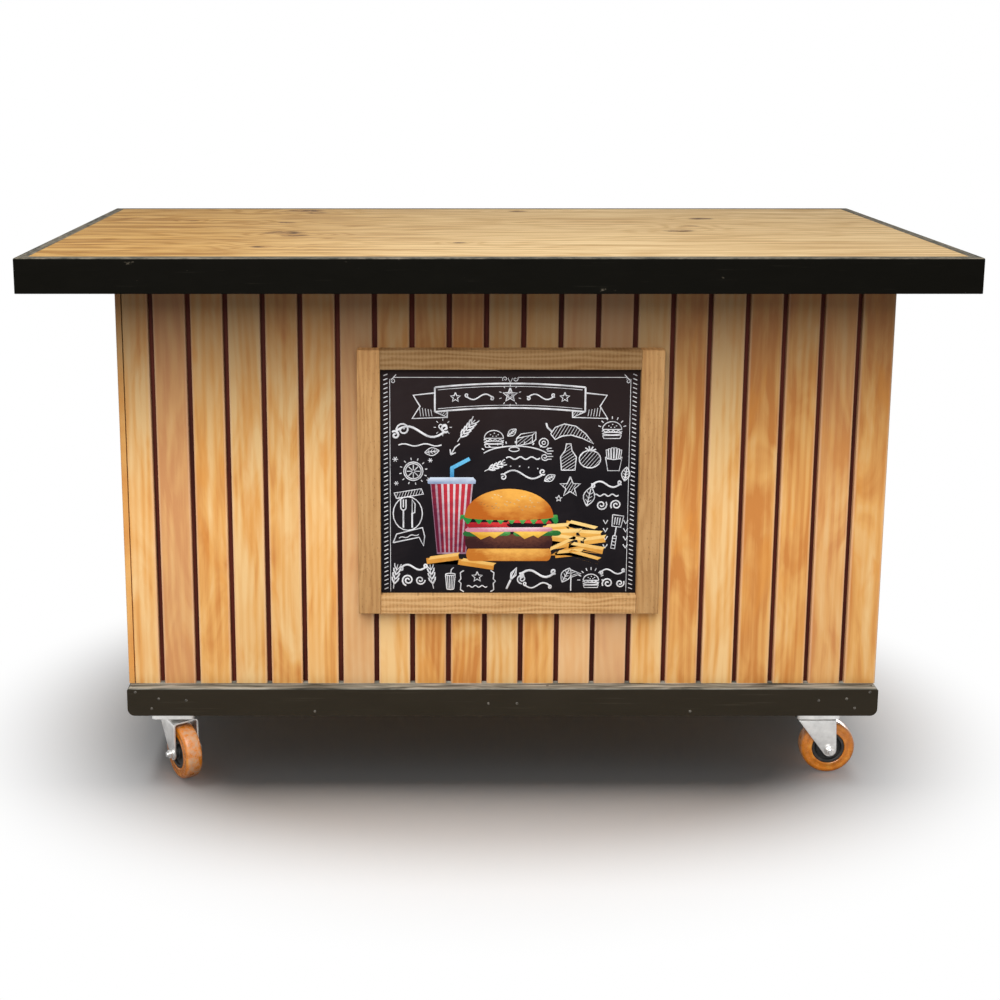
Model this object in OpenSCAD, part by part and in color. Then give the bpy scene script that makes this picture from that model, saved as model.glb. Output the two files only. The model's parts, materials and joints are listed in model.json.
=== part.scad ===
// Event cart: a slatted timber counter on four swivel castors, with an overhanging
// black-edged worktop and a framed chalkboard on its front.
// The origin is on the floor under the middle of the worktop. The front faces -Y.

/* [Worktop] */
// Overall width, edging included
top_w = 1600; // [1200:10:2000]
// Overall depth, edging included
top_d = 800; // [600:10:1000]
// Height of the worktop's surface above the floor
cart_h = 980; // [860:10:1100]
// Thickness of the plywood panel
panel_t = 18; // [12:1:30]
// Height of the black edging boards
edging_h = 60; // [35:1:90]
// Thickness of the black edging boards
edging_t = 20; // [12:1:30]
// Gap between the panel and its edging
panel_gap = 0.4; // [0.2:0.1:0.8]
// Overhang of the worktop beyond each end of the body
end_overhang = 119.5; // [60:0.5:200]
// Overhang of the worktop beyond the body's front and back
front_overhang = 125; // [60:1:160]

/* [Body] */
// How far the body sits to the right of the worktop's middle
body_shift = 18; // [-40:1:40]
// Width aimed at for each slat, which is then evened out along a side
slat_w = 56; // [40:1:90]
// Dark groove between two slats
groove_w = 9; // [4:1:15]
// Thickness of the slats
slat_t = 10; // [8:1:18]
// Bevel on a slat's two outer edges
slat_bevel = 1.2; // [0.5:0.1:3]
// Gap at a corner, where the slats of one side lap those of the next
corner_gap = 1.5; // [0.5:0.5:4]
// Thickness of the dark boards behind the slats
backing_t = 9; // [6:1:18]
// Side of the square corner posts
post_w = 45; // [30:1:60]
// Height of the rails under the worktop
rail_h = 45; // [30:1:70]
// Thickness of the floor board inside
floor_t = 12; // [9:1:18]

/* [Plinth] */
// Height of the plinth boards
plinth_h = 53; // [40:1:80]
// Depth of the plinth boards, measured inwards
plinth_deep = 98; // [95:1:130]
// Ledge in front of and behind the slats
ledge = 23; // [5:1:40]
// Radius on the plinth's lower ends
plinth_round = 13; // [4:1:20]
// Bevel on the plinth's upper ends
plinth_bevel = 4; // [1:1:8]

/* [Chalkboard] */
// Overall width of the frame
sign_w = 536; // [400:1:640]
// Overall height of the frame
sign_h = 482; // [360:1:560]
// Height of the frame's lower edge above the plinth
sign_rise = 143; // [60:1:180]
// How far the frame sits to the right of the body's middle
sign_shift = 9; // [-60:1:60]
// Width of the two upright frame pieces
stile_w = 40; // [25:1:60]
// Height of the two level frame pieces
sign_rail_h = 35; // [25:1:60]
// How far the frame stands out from the slats
sign_proud = 25; // [18:1:40]
// Thickness of the board inside the frame
board_t = 12; // [4:1:15]

/* [Castors] */
// Diameter of the wheels
wheel_d = 100; // [80:1:105]
// Width of the tread
wheel_w = 32; // [25:1:36]
// Depth of the tread, from the hub outwards
tread_t = 20; // [14:1:22]
// Overall height of a castor
castor_h = 127; // [125:1:150]
// Distance of the axle behind the swivel axis
trail = 28; // [20:1:35]
// Width of the mounting plate
plate_w = 80; // [70:1:90]
// Depth of the mounting plate
plate_d = 86; // [80:1:90]
// Thickness of the plate and the fork's sheet
sheet_t = 3; // [2:0.5:4]
// Swivel axis from the plinth's left end, on the two left castors
inset_left = 82; // [60:1:140]
// Swivel axis from the plinth's right end, on the two right castors
inset_right = 105; // [60:1:140]
// Swivel axis behind the plinth's front, and before its back
inset_front = 45; // [45:1:48]
// Way that the front left wheel trails, 0 towards the right end
turn_front_left = -57; // [-180:1:180]
// Way that the front right wheel trails
turn_front_right = 0; // [-180:1:180]
// Way that the rear left wheel trails
turn_rear_left = -25; // [-180:1:180]
// Way that the rear right wheel trails
turn_rear_right = 40; // [-180:1:180]

/* [Hidden] */
CASTORS = ["front_left", "front_right", "rear_left", "rear_right"];

$fn = 64;

// Heights
plinth_top = castor_h + plinth_h;
panel_under = cart_h - panel_t;
body_h = panel_under - plinth_top;

// Body outline, at the outer faces of the slats
body_w = top_w - 2 * end_overhang;
body_d = top_d - 2 * front_overhang;
body_left = body_shift - body_w / 2;
body_right = body_shift + body_w / 2;
body_front = -body_d / 2;
body_back = body_d / 2;

// Outlines behind the slats and behind the backing
frame_w = body_w - 2 * slat_t;
frame_d = body_d - 2 * slat_t;
inner_w = frame_w - 2 * backing_t;
inner_d = frame_d - 2 * backing_t;

plinth_w = body_w;
plinth_d = body_d + 2 * ledge;

// Bevels on painted and sawn edges
edging_bevel = 1.5;
sign_bevel = 1.5;

// Castors
axle_r = 5;
axle_z = wheel_d / 2;
axle_clearance = 0.1;
leg_clearance = 5;
leg_inner = wheel_w / 2 + leg_clearance;
leg_outer = leg_inner + sheet_t;
leg_end_r = 12.5;
web_clearance = 7;
web_z = wheel_d + web_clearance;
web_top = web_z + sheet_t;
web_back = -32;
web_front = trail + 10;
race_r = 26;
race_gap = 0.4;
plate_z = castor_h - sheet_t;
cap_r = 30;
cap_h = 5;
kingpin_r = 6;
kingpin_head_r = 9;
kingpin_head_h = 2.6;
nut_r = 8.7;
nut_h = 6;
washer_r = 10;
washer_t = 1.5;
thread_end = 4;
hub_gap = 0.4;
hub_r = wheel_d / 2 - tread_t - hub_gap;
hub_boss_r = 11;
rim_t = 5.6;
hub_web_r = hub_r - rim_t;
hub_side_gap = 0.6;
rim_step = 1;
hub_web_half = 8;
tread_round = 7;

function castor_right(name) = name == "front_right" || name == "rear_right";
function castor_front(name) = name == "front_left" || name == "front_right";
function castor_x(name) = castor_right(name)
    ? body_shift + plinth_w / 2 - inset_right
    : body_shift - plinth_w / 2 + inset_left;
function castor_y(name) = castor_front(name)
    ? -plinth_d / 2 + inset_front
    : plinth_d / 2 - inset_front;
function castor_turn(name) = name == "front_left" ? turn_front_left
    : name == "front_right" ? turn_front_right
    : name == "rear_left" ? turn_rear_left
    : turn_rear_right;

// Points of a quarter circle about a centre, from one angle to another
function arc(centre, r, from, to, steps) = [
    for (i = [0:steps]) centre + r * [cos(from + (to - from) * i / steps), sin(from + (to - from) * i / steps)]
];

// The angle on a circle at which a line from a point outside touches it, on the given side
function touch_angle(point, centre, r, side) =
    let (d = point - centre) atan2(d[1], d[0]) + side * acos(r / norm(d));

// A box centred on the Z axis, standing on z
module block(w, d, h, z) {
    translate([-w / 2, -d / 2, z]) cube([w, d, h]);
}

module at_body() {
    translate([body_shift, 0, 0]) children();
}

// ---- Worktop ----

module top_panel() {
    inset = edging_t + panel_gap;
    color("burlywood") block(top_w - 2 * inset, top_d - 2 * inset, panel_t, panel_under);
}

// A mitred edging board along +X, its outer face at -Y and its top at the worktop's surface
module edging(length, offset) {
    profile = [
        [0, 0],
        [edging_t, 0],
        [edging_t, edging_h],
        [edging_bevel, edging_h],
        [0, edging_h - edging_bevel]
    ];
    translate([0, -offset, cart_h - edging_h]) intersection() {
        translate([-length / 2, 0, 0])
            rotate([90, 0, 90]) linear_extrude(length) polygon(profile);
        linear_extrude(edging_h)
            polygon([
                [-length / 2, 0],
                [length / 2, 0],
                [length / 2 - edging_t, edging_t],
                [-length / 2 + edging_t, edging_t]
            ]);
    }
}

module edging_front() { color("black") edging(top_w, top_d / 2); }
module edging_back() { color("black") rotate(180) edging(top_w, top_d / 2); }
module edging_left() { color("black") rotate(-90) edging(top_d, top_w / 2); }
module edging_right() { color("black") rotate(90) edging(top_d, top_w / 2); }

// ---- Frame ----

module corner_posts() {
    color("tan") at_body() for (x = [-1, 1], y = [-1, 1])
        translate([x * (inner_w - post_w) / 2, y * (inner_d - post_w) / 2, 0])
            block(post_w, post_w, body_h - floor_t, plinth_top + floor_t);
}

module top_rails() {
    rail_z = panel_under - rail_h;
    color("tan") at_body() for (side = [-1, 1]) {
        translate([0, side * (inner_d - post_w) / 2, 0])
            block(inner_w - 2 * post_w, post_w, rail_h, rail_z);
        translate([side * (inner_w - post_w) / 2, 0, 0])
            block(post_w, inner_d - 2 * post_w, rail_h, rail_z);
    }
}

module floor_board() {
    color("tan") at_body() block(inner_w, inner_d, floor_t, plinth_top);
}

// ---- Backing boards ----

module backing_long(side) {
    color("maroon") at_body() translate([0, side * (frame_d - backing_t) / 2, 0])
        block(frame_w, backing_t, body_h, plinth_top);
}

module backing_short(side) {
    color("maroon") at_body() translate([side * (frame_w - backing_t) / 2, 0, 0])
        block(backing_t, inner_d, body_h, plinth_top);
}

module backing_front() { backing_long(-1); }
module backing_back() { backing_long(1); }
module backing_left() { backing_short(-1); }
module backing_right() { backing_short(1); }

// ---- Slats ----

// Upright slats along +X with their outer faces at y = 0. The first is cut back for the
// slats of the side before it, which lap it there.
module slat_row(length) {
    count = round((length + groove_w) / (slat_w + groove_w));
    pitch = (length + groove_w) / count;
    lap = slat_t + corner_gap;
    translate([0, 0, plinth_top]) linear_extrude(body_h) for (i = [0:count - 1]) {
        start = i * pitch + (i == 0 ? lap : 0);
        end = (i + 1) * pitch - groove_w;
        polygon([
            [start + slat_bevel, 0],
            [end - slat_bevel, 0],
            [end, slat_bevel],
            [end, slat_t],
            [start, slat_t],
            [start, slat_bevel]
        ]);
    }
}

module slats_front() {
    color("peru") translate([body_left, body_front, 0]) slat_row(body_w);
}

module slats_right() {
    color("peru") translate([body_right, body_front, 0]) rotate(90) slat_row(body_d);
}

module slats_back() {
    color("peru") translate([body_right, body_back, 0]) rotate(180) slat_row(body_w);
}

module slats_left() {
    color("peru") translate([body_left, body_back, 0]) rotate(270) slat_row(body_d);
}

// ---- Plinth ----

// The plinth's outline seen from the front: bevelled above and rounded below at both ends
module plinth_outline() {
    half = plinth_w / 2;
    right_end = concat(
        arc([half - plinth_round, plinth_round], plinth_round, -90, 0, 6),
        [[half, plinth_h - plinth_bevel], [half - plinth_bevel, plinth_h]]
    );
    left_end = [for (i = [len(right_end) - 1:-1:0]) [-right_end[i][0], right_end[i][1]]];
    polygon(concat(right_end, left_end));
}

// A run of that outline from y = -depth / 2 to depth / 2
module plinth_run(depth) {
    translate([body_shift, depth / 2, castor_h])
        rotate([90, 0, 0]) linear_extrude(depth) plinth_outline();
}

module plinth_long(side) {
    color("#2b2420") translate([0, side * (plinth_d - plinth_deep) / 2, 0]) plinth_run(plinth_deep);
}

module plinth_short(side) {
    color("#2b2420") intersection() {
        plinth_run(plinth_d - 2 * plinth_deep);
        at_body() translate([side * (plinth_w - plinth_deep) / 2, 0, 0])
            block(plinth_deep, plinth_d, plinth_h, castor_h);
    }
}

module plinth_front() { plinth_long(-1); }
module plinth_back() { plinth_long(1); }
module plinth_left() { plinth_short(-1); }
module plinth_right() { plinth_short(1); }

// ---- Chalkboard ----

// The section of a frame bar, with its two front edges bevelled. It stands out towards -Y.
module bar_section(w) {
    polygon([
        [0, 0],
        [0, sign_bevel - sign_proud],
        [sign_bevel, -sign_proud],
        [w - sign_bevel, -sign_proud],
        [w, sign_bevel - sign_proud],
        [w, 0]
    ]);
}

// A bar of the frame, w wide and h high, bevelled round its front
module sign_bar(w, h) {
    intersection() {
        linear_extrude(h) bar_section(w);
        translate([w, 0, 0]) rotate([0, -90, 0]) linear_extrude(w) bar_section(h);
    }
}

module at_sign(x, z) {
    translate([body_shift + sign_shift - sign_w / 2 + x, body_front, plinth_top + sign_rise + z])
        children();
}

module sign_stile_left() {
    color("#b98a4e") at_sign(0, 0) sign_bar(stile_w, sign_h);
}

module sign_stile_right() {
    color("#b98a4e") at_sign(sign_w - stile_w, 0) sign_bar(stile_w, sign_h);
}

module sign_rail_bottom() {
    color("#b98a4e") at_sign(stile_w, 0) sign_bar(sign_w - 2 * stile_w, sign_rail_h);
}

module sign_rail_top() {
    color("#b98a4e") at_sign(stile_w, sign_h - sign_rail_h) sign_bar(sign_w - 2 * stile_w, sign_rail_h);
}

module sign_board() {
    color("#1b1a1c") at_sign(stile_w, sign_rail_h) translate([0, -board_t, 0])
        cube([sign_w - 2 * stile_w, board_t, sign_h - 2 * sign_rail_h]);
}

// ---- Castors ----

// Places a castor: its swivel axis upright at its own place, standing on the floor
module at_castor(name) {
    translate([castor_x(name), castor_y(name), 0]) children();
}

// Turns what swivels, so that local +X is the way the wheel trails
module turned(name) {
    at_castor(name) rotate(castor_turn(name)) children();
}

// Moves a wheel piece, drawn about the Z axis, to the axle
module on_axle(name) {
    turned(name) translate([trail, 0, axle_z]) rotate([90, 0, 0]) children();
}

module castor_plate(name) {
    color("silver") at_castor(name) {
        block(plate_w, plate_d, sheet_t, plate_z);
        translate([0, 0, plate_z - cap_h]) cylinder(h = cap_h, r = cap_r);
        translate([0, 0, web_z - race_gap]) cylinder(h = plate_z - web_z + race_gap, r = kingpin_r);
        translate([0, 0, web_z - race_gap - kingpin_head_h]) cylinder(h = kingpin_head_h, r = kingpin_head_r);
    }
}

// A leg's outline seen along the axle: wide at the web, tapering to a round end
module leg_outline() {
    centre = [trail, axle_z];
    back = [web_back, web_top];
    front = [web_front, web_top];
    from = touch_angle(back, centre, leg_end_r, 1);
    to = touch_angle(front, centre, leg_end_r, -1) + 360;
    polygon(concat([back], arc(centre, leg_end_r, from, to, 16), [front]));
}

module castor_fork(name) {
    race_h = plate_z - cap_h - race_gap - web_top;
    color("gainsboro") turned(name) difference() {
        union() {
            for (y = [-leg_inner, leg_outer])
                translate([0, y, 0]) rotate([90, 0, 0]) linear_extrude(sheet_t) leg_outline();
            translate([web_back, -leg_outer, web_z]) cube([web_front - web_back, 2 * leg_outer, sheet_t]);
            translate([0, 0, web_top]) cylinder(h = race_h, r = race_r);
        }
        translate([0, 0, web_z - 1]) cylinder(h = castor_h - web_z, r = kingpin_r + axle_clearance);
        translate([trail, leg_outer + 1, axle_z]) rotate([90, 0, 0])
            cylinder(h = 2 * leg_outer + 2, r = axle_r + axle_clearance);
    }
}

module castor_axle(name) {
    half = leg_outer + washer_t + nut_h;
    color("silver") on_axle(name) {
        translate([0, 0, -half]) cylinder(h = 2 * half + thread_end, r = axle_r);
        for (side = [0, 1]) mirror([0, 0, side]) {
            translate([0, 0, leg_outer]) cylinder(h = washer_t, r = washer_r);
            translate([0, 0, leg_outer + washer_t]) cylinder(h = nut_h, r = nut_r, $fn = 6);
        }
    }
}

module castor_hub(name) {
    bore_r = axle_r + axle_clearance;
    boss_half = leg_inner - hub_side_gap;
    rim_half = wheel_w / 2 - rim_step;
    color("#202020") on_axle(name) rotate_extrude() polygon([
        [bore_r, -boss_half],
        [hub_boss_r, -boss_half],
        [hub_boss_r, -hub_web_half],
        [hub_web_r, -hub_web_half],
        [hub_web_r, -rim_half],
        [hub_r, -rim_half],
        [hub_r, rim_half],
        [hub_web_r, rim_half],
        [hub_web_r, hub_web_half],
        [hub_boss_r, hub_web_half],
        [hub_boss_r, boss_half],
        [bore_r, boss_half]
    ]);
}

module castor_tread(name) {
    inner_r = wheel_d / 2 - tread_t;
    shoulder = [wheel_d / 2 - tread_round, wheel_w / 2 - tread_round];
    upper = arc(shoulder, tread_round, 0, 90, 5);
    lower = [for (i = [len(upper) - 1:-1:0]) [upper[i][0], -upper[i][1]]];
    color("#d98324") on_axle(name) rotate_extrude()
        polygon(concat([[inner_r, -wheel_w / 2]], lower, upper, [[inner_r, wheel_w / 2]]));
}

top_panel();
edging_front();
edging_back();
edging_left();
edging_right();
corner_posts();
top_rails();
floor_board();
backing_front();
backing_back();
backing_left();
backing_right();
slats_front();
slats_back();
slats_left();
slats_right();
plinth_front();
plinth_back();
plinth_left();
plinth_right();
sign_stile_left();
sign_stile_right();
sign_rail_top();
sign_rail_bottom();
sign_board();
for (name = CASTORS) {
    castor_plate(name);
    castor_fork(name);
    castor_axle(name);
    castor_hub(name);
    castor_tread(name);
}
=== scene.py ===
import json
import math
import random

import bpy
from bpy.props import FloatProperty, FloatVectorProperty, IntProperty, PointerProperty
from mathutils import Matrix, Vector


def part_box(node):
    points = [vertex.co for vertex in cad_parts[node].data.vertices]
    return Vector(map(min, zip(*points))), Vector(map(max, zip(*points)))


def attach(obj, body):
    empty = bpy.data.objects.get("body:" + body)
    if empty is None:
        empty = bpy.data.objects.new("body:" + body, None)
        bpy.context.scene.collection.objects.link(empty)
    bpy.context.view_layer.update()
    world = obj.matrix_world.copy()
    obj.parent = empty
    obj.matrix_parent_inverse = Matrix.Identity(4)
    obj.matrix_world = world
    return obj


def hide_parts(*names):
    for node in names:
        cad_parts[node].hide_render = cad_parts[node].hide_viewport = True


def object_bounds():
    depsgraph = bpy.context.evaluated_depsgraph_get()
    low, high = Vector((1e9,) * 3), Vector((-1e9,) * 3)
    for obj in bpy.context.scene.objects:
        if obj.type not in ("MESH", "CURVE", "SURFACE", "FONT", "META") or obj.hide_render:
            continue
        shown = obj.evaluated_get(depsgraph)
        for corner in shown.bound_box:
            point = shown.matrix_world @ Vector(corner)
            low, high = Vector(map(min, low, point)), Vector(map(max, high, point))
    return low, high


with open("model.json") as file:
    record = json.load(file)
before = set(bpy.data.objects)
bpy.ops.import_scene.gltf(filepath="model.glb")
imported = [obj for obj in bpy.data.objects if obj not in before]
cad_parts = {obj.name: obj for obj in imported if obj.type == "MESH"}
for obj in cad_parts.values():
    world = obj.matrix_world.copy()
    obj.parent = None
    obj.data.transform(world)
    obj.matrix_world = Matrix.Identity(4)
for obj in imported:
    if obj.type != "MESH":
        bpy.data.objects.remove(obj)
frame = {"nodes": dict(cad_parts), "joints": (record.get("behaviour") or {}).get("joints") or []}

bl_info = {
    "name": "Event Cart",
    "version": (1, 0, 0),
    "blender": (4, 5, 0),
    "location": "View3D > Sidebar > Cart",
    "description": "Finishes and details for a slatted serving cart on castors",
    "category": "Object",
}

CAD_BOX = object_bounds()
NODES = frame["nodes"]
JOINTS = {joint["name"]: joint for joint in frame["joints"]}
CASTORS = ("front_left", "front_right", "rear_left", "rear_right")
MM = 0.001

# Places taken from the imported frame, in metres
TOP_LOW, TOP_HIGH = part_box("top_panel")
BODY_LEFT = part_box("slats_left")[0][0]
BODY_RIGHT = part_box("slats_right")[1][0]
BODY_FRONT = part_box("slats_front")[0][1]
BODY_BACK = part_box("slats_back")[1][1]
BODY_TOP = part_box("slats_front")[1][2]
PLINTH_LOW, PLINTH_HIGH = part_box("plinth_front")
PLINTH_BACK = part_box("plinth_back")[1][1]
PLINTH_TOP = PLINTH_HIGH[2]
BOARD_LOW, BOARD_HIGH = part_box("sign_board")
CART_HEIGHT = CAD_BOX[1][2]
SLATS_LONG, SLATS_SHORT = 21, 9
GROOVE = 9 * MM


# ---- Settings --------------------------------------------------------------------------


def colour(name, text, value):
    return FloatVectorProperty(name=name, description=text, default=value, size=3, min=0, max=1, subtype="COLOR")


def length(name, text, value):
    return FloatProperty(name=name, description=text, default=value, min=0, unit="LENGTH", subtype="DISTANCE")


class CartTimber(bpy.types.PropertyGroup):
    """Colours of the wooden pieces."""

    slat_deep: colour("Slat deep", "Darkest grain in the slats", (0.60, 0.23, 0.052))
    slat_warm: colour("Slat warm", "Middle tone of the slats", (0.76, 0.39, 0.115))
    slat_pale: colour("Slat pale", "Palest grain in the slats", (0.84, 0.54, 0.235))
    groove: colour("Groove", "Stain on the boards behind the slats", (0.062, 0.012, 0.007))
    ply_deep: colour("Plywood deep", "Late wood in the plywood's face", (0.29, 0.130, 0.028))
    ply_warm: colour("Plywood warm", "Middle tone of the plywood's face", (0.50, 0.265, 0.068))
    ply_pale: colour("Plywood pale", "Early wood in the plywood's face", (0.66, 0.395, 0.125))
    sign_deep: colour("Frame deep", "Dark grain of the chalkboard's frame", (0.33, 0.155, 0.052))
    sign_pale: colour("Frame pale", "Pale grain of the chalkboard's frame", (0.60, 0.36, 0.16))


class CartPaint(bpy.types.PropertyGroup):
    """Colours of painted, moulded and plated pieces."""

    edging: colour("Edging", "Black paint on the worktop's edging", (0.0028, 0.0026, 0.0018))
    plinth: colour("Plinth", "Dark paint on the plinth", (0.021, 0.016, 0.0095))
    worn: colour("Worn paint", "Where paint is rubbed back to grey timber", (0.20, 0.19, 0.155))
    board: colour("Chalkboard", "The chalkboard's surface", (0.019, 0.012, 0.012))
    chalk: colour("Chalk", "White chalk", (0.80, 0.80, 0.82))
    amber: colour("Tread", "Amber castor tread", (0.66, 0.195, 0.008))
    hub: colour("Hub", "Black moulded hub", (0.012, 0.012, 0.012))
    zinc: colour("Zinc", "Bright zinc plating", (0.80, 0.79, 0.77))


class CartSizes(bpy.types.PropertyGroup):
    """Sizes of the small details."""

    nail_radius: length("Nail radius", "Radius of the nail heads", 2.6 * MM)
    bolt_radius: length("Bolt radius", "Radius of the hexagon heads on the castor plates", 6.5 * MM)
    board_bevel: length("Board bevel", "Rounding of the painted boards' edges", 1.6 * MM)
    frame_bevel: length("Frame bevel", "Rounding of the chalkboard frame's edges", 1.5 * MM)
    chalk_width: length("Chalk width", "Width of a chalk stroke", 2.2 * MM)
    wheel_steps: IntProperty(name="Wheel steps", description="Facets round a wheel", default=96, min=24, max=192)


class CartStage(bpy.types.PropertyGroup):
    """Camera, lamps and floor."""

    lens: FloatProperty(name="Lens", description="Focal length in millimetres", default=51.97, min=20, max=200)
    distance: length("Distance", "Camera in front of the middle of the worktop", 2.753)
    aside: length("Aside", "Camera to the left of the middle of the worktop", 0.1135)
    height: length("Height", "Camera above the floor", 1.304)
    tilt: FloatProperty(
        name="Tilt", description="Camera's tilt below level", default=math.radians(10.02), subtype="ANGLE"
    )
    shift_x: FloatProperty(name="Shift X", description="Sideways shift of the lens", default=0.07)
    shift_y: FloatProperty(name="Shift Y", description="Upward shift of the lens", default=-0.187)
    front: FloatProperty(name="Front", description="Power of the lamp in front, in watts", default=140, min=0)
    back: FloatProperty(name="Back", description="Power of the lamp behind, in watts", default=62, min=0)
    below: FloatProperty(name="Below", description="Power of the lamp for the floor, in watts", default=104, min=0)
    ambient: FloatProperty(name="Ambient", description="Strength of the light from all round", default=0.12, min=0)
    floor: colour("Floor", "Colour of the floor", (0.90, 0.90, 0.90))


def timber():
    return bpy.context.scene.cart_timber


def paint():
    return bpy.context.scene.cart_paint


def sizes():
    return bpy.context.scene.cart_sizes


# ---- Shader maths ----------------------------------------------------------------------


class Value:
    """A number in a material's node tree. Arithmetic on it adds the Math nodes."""

    def __init__(self, finish, socket):
        self.finish, self.socket = finish, socket

    def math(self, operation, *others):
        node = self.finish.node("ShaderNodeMath", {"operation": operation}, dict(enumerate((self, *others))))
        return Value(self.finish, node.outputs[0])

    def __add__(self, other):
        return self.math("ADD", other)

    def __mul__(self, other):
        return self.math("MULTIPLY", other)

    __radd__, __rmul__ = __add__, __mul__

    def __sub__(self, other):
        return self.math("SUBTRACT", other)

    def __rsub__(self, other):
        return (self * -1) + other

    def __truediv__(self, other):
        return self.math("DIVIDE", other)

    def __pow__(self, other):
        return self.math("POWER", other)

    def floor(self):
        return self.math("FLOOR")

    def sin(self):
        return self.math("SINE")

    def abs(self):
        return self.math("ABSOLUTE")

    def root(self):
        return self.math("SQRT")

    def step(self, low, high, to_low=0.0, to_high=1.0):
        """Rises smoothly from to_low at low to to_high at high."""
        node = self.finish.node(
            "ShaderNodeMapRange",
            {"interpolation_type": "SMOOTHSTEP"},
            {"Value": self, "From Min": low, "From Max": high, "To Min": to_low, "To Max": to_high},
        )
        return Value(self.finish, node.outputs["Result"])


class Finish:
    """Builds one material from nodes."""

    def __init__(self, name):
        self.material = bpy.data.materials.new(name)
        self.material.use_nodes = True
        self.tree = self.material.node_tree
        self.tree.nodes.clear()

    def node(self, kind, settings=None, values=None):
        """Adds a node. Its settings are set first, then its sockets get values or links."""
        node = self.tree.nodes.new(kind)
        for key, value in (settings or {}).items():
            if key == "stops":
                ramp = node.color_ramp.elements
                while len(ramp) < len(value):
                    ramp.new(0.5)
                for stop, (place, shade) in zip(ramp, value):
                    stop.position, stop.color = place, (*shade, 1)
            else:
                setattr(node, key, value)
        for key, value in (values or {}).items():
            socket = node.inputs[key]
            if isinstance(value, Value):
                value = value.socket
            if isinstance(value, bpy.types.NodeSocket):
                self.tree.links.new(value, socket)
            elif socket.type == "RGBA":
                socket.default_value = (*value, 1)
            else:
                socket.default_value = value
        return node

    def place(self):
        """The surface's place in the cart's own frame, as three numbers in metres."""
        where = self.node("ShaderNodeTexCoord").outputs["Object"]
        parts = self.node("ShaderNodeSeparateXYZ", values={0: where})
        return [Value(self, output) for output in parts.outputs]

    def normal(self):
        """The surface's own direction, as three numbers."""
        facing = self.node("ShaderNodeNewGeometry").outputs["Normal"]
        parts = self.node("ShaderNodeSeparateXYZ", values={0: facing})
        return [Value(self, output) for output in parts.outputs]

    def vector(self, x, y, z):
        return self.node("ShaderNodeCombineXYZ", values={0: x, 1: y, 2: z}).outputs[0]

    def noise(self, vector, scale=1.0, detail=2.0, roughness=0.5, distortion=0.0):
        values = {
            "Vector": vector, "Scale": scale, "Detail": detail, "Roughness": roughness, "Distortion": distortion
        }
        return Value(self, self.node("ShaderNodeTexNoise", values=values).outputs[0])

    def chance(self, number):
        """Three numbers from 0 to 1 that depend only on the given one."""
        dice = self.node("ShaderNodeTexWhiteNoise", {"noise_dimensions": "1D"}, {"W": number})
        parts = self.node("ShaderNodeSeparateColor", values={0: dice.outputs["Color"]})
        return [Value(self, output) for output in parts.outputs]

    def ramp(self, number, stops):
        return self.node("ShaderNodeValToRGB", {"stops": stops}, {0: number}).outputs[0]

    def mix(self, factor, first, second, blend="MIX"):
        """Mixes two colours: the first where factor is 0, the second where it is 1."""
        node = self.node(
            "ShaderNodeMix", {"data_type": "RGBA", "blend_type": blend}, {0: factor, 6: first, 7: second}
        )
        return node.outputs[2]

    def grey(self, number):
        """A number as a grey colour, for multiplying another."""
        return self.node("ShaderNodeCombineColor", values={0: number, 1: number, 2: number}).outputs[0]

    def bump(self, height, depth, strength=1.0):
        """A relief of the given depth in metres where height runs from 0 to 1."""
        values = {"Height": height, "Distance": depth, "Strength": strength}
        return self.node("ShaderNodeBump", values=values).outputs[0]

    def done(self, **sockets):
        """Finishes with the plain shader. Its sockets are named in lower case, such as base_color."""
        values = {key.replace("_", " ").title().replace("Ior", "IOR"): value for key, value in sockets.items()}
        shader = self.node("ShaderNodeBsdfPrincipled", values=values)
        self.node("ShaderNodeOutputMaterial", values={0: shader.outputs[0]})
        return self.material


# ---- Finishes --------------------------------------------------------------------------


def board_figure(finish, across, along, depth, luck):
    """Grain of one sawn board, all from 0 to 1: growth rings, fine fibres and soft blotches."""
    drift = finish.noise(finish.vector(across * 3, along * 1.3, luck * 40), detail=2)
    heart = across + (luck - 0.5) * 0.16 + (drift - 0.5) * 0.05
    ring_depth = depth + 0.03 + (drift - 0.5) * 0.06
    distance = (heart * heart + ring_depth * ring_depth).root()
    waver = finish.noise(finish.vector(across * 30, along * 4, luck * 17), detail=3)
    rings = (distance * 560 + waver * 5.0).sin() * 0.5 + 0.5
    fibres = finish.noise(finish.vector(across * 520, along * 9, luck * 90), detail=4, roughness=0.62)
    blotches = finish.noise(finish.vector(across * 22, along * 4.6, luck * 60), detail=3, distortion=1.2)
    return rings, fibres, blotches


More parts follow.
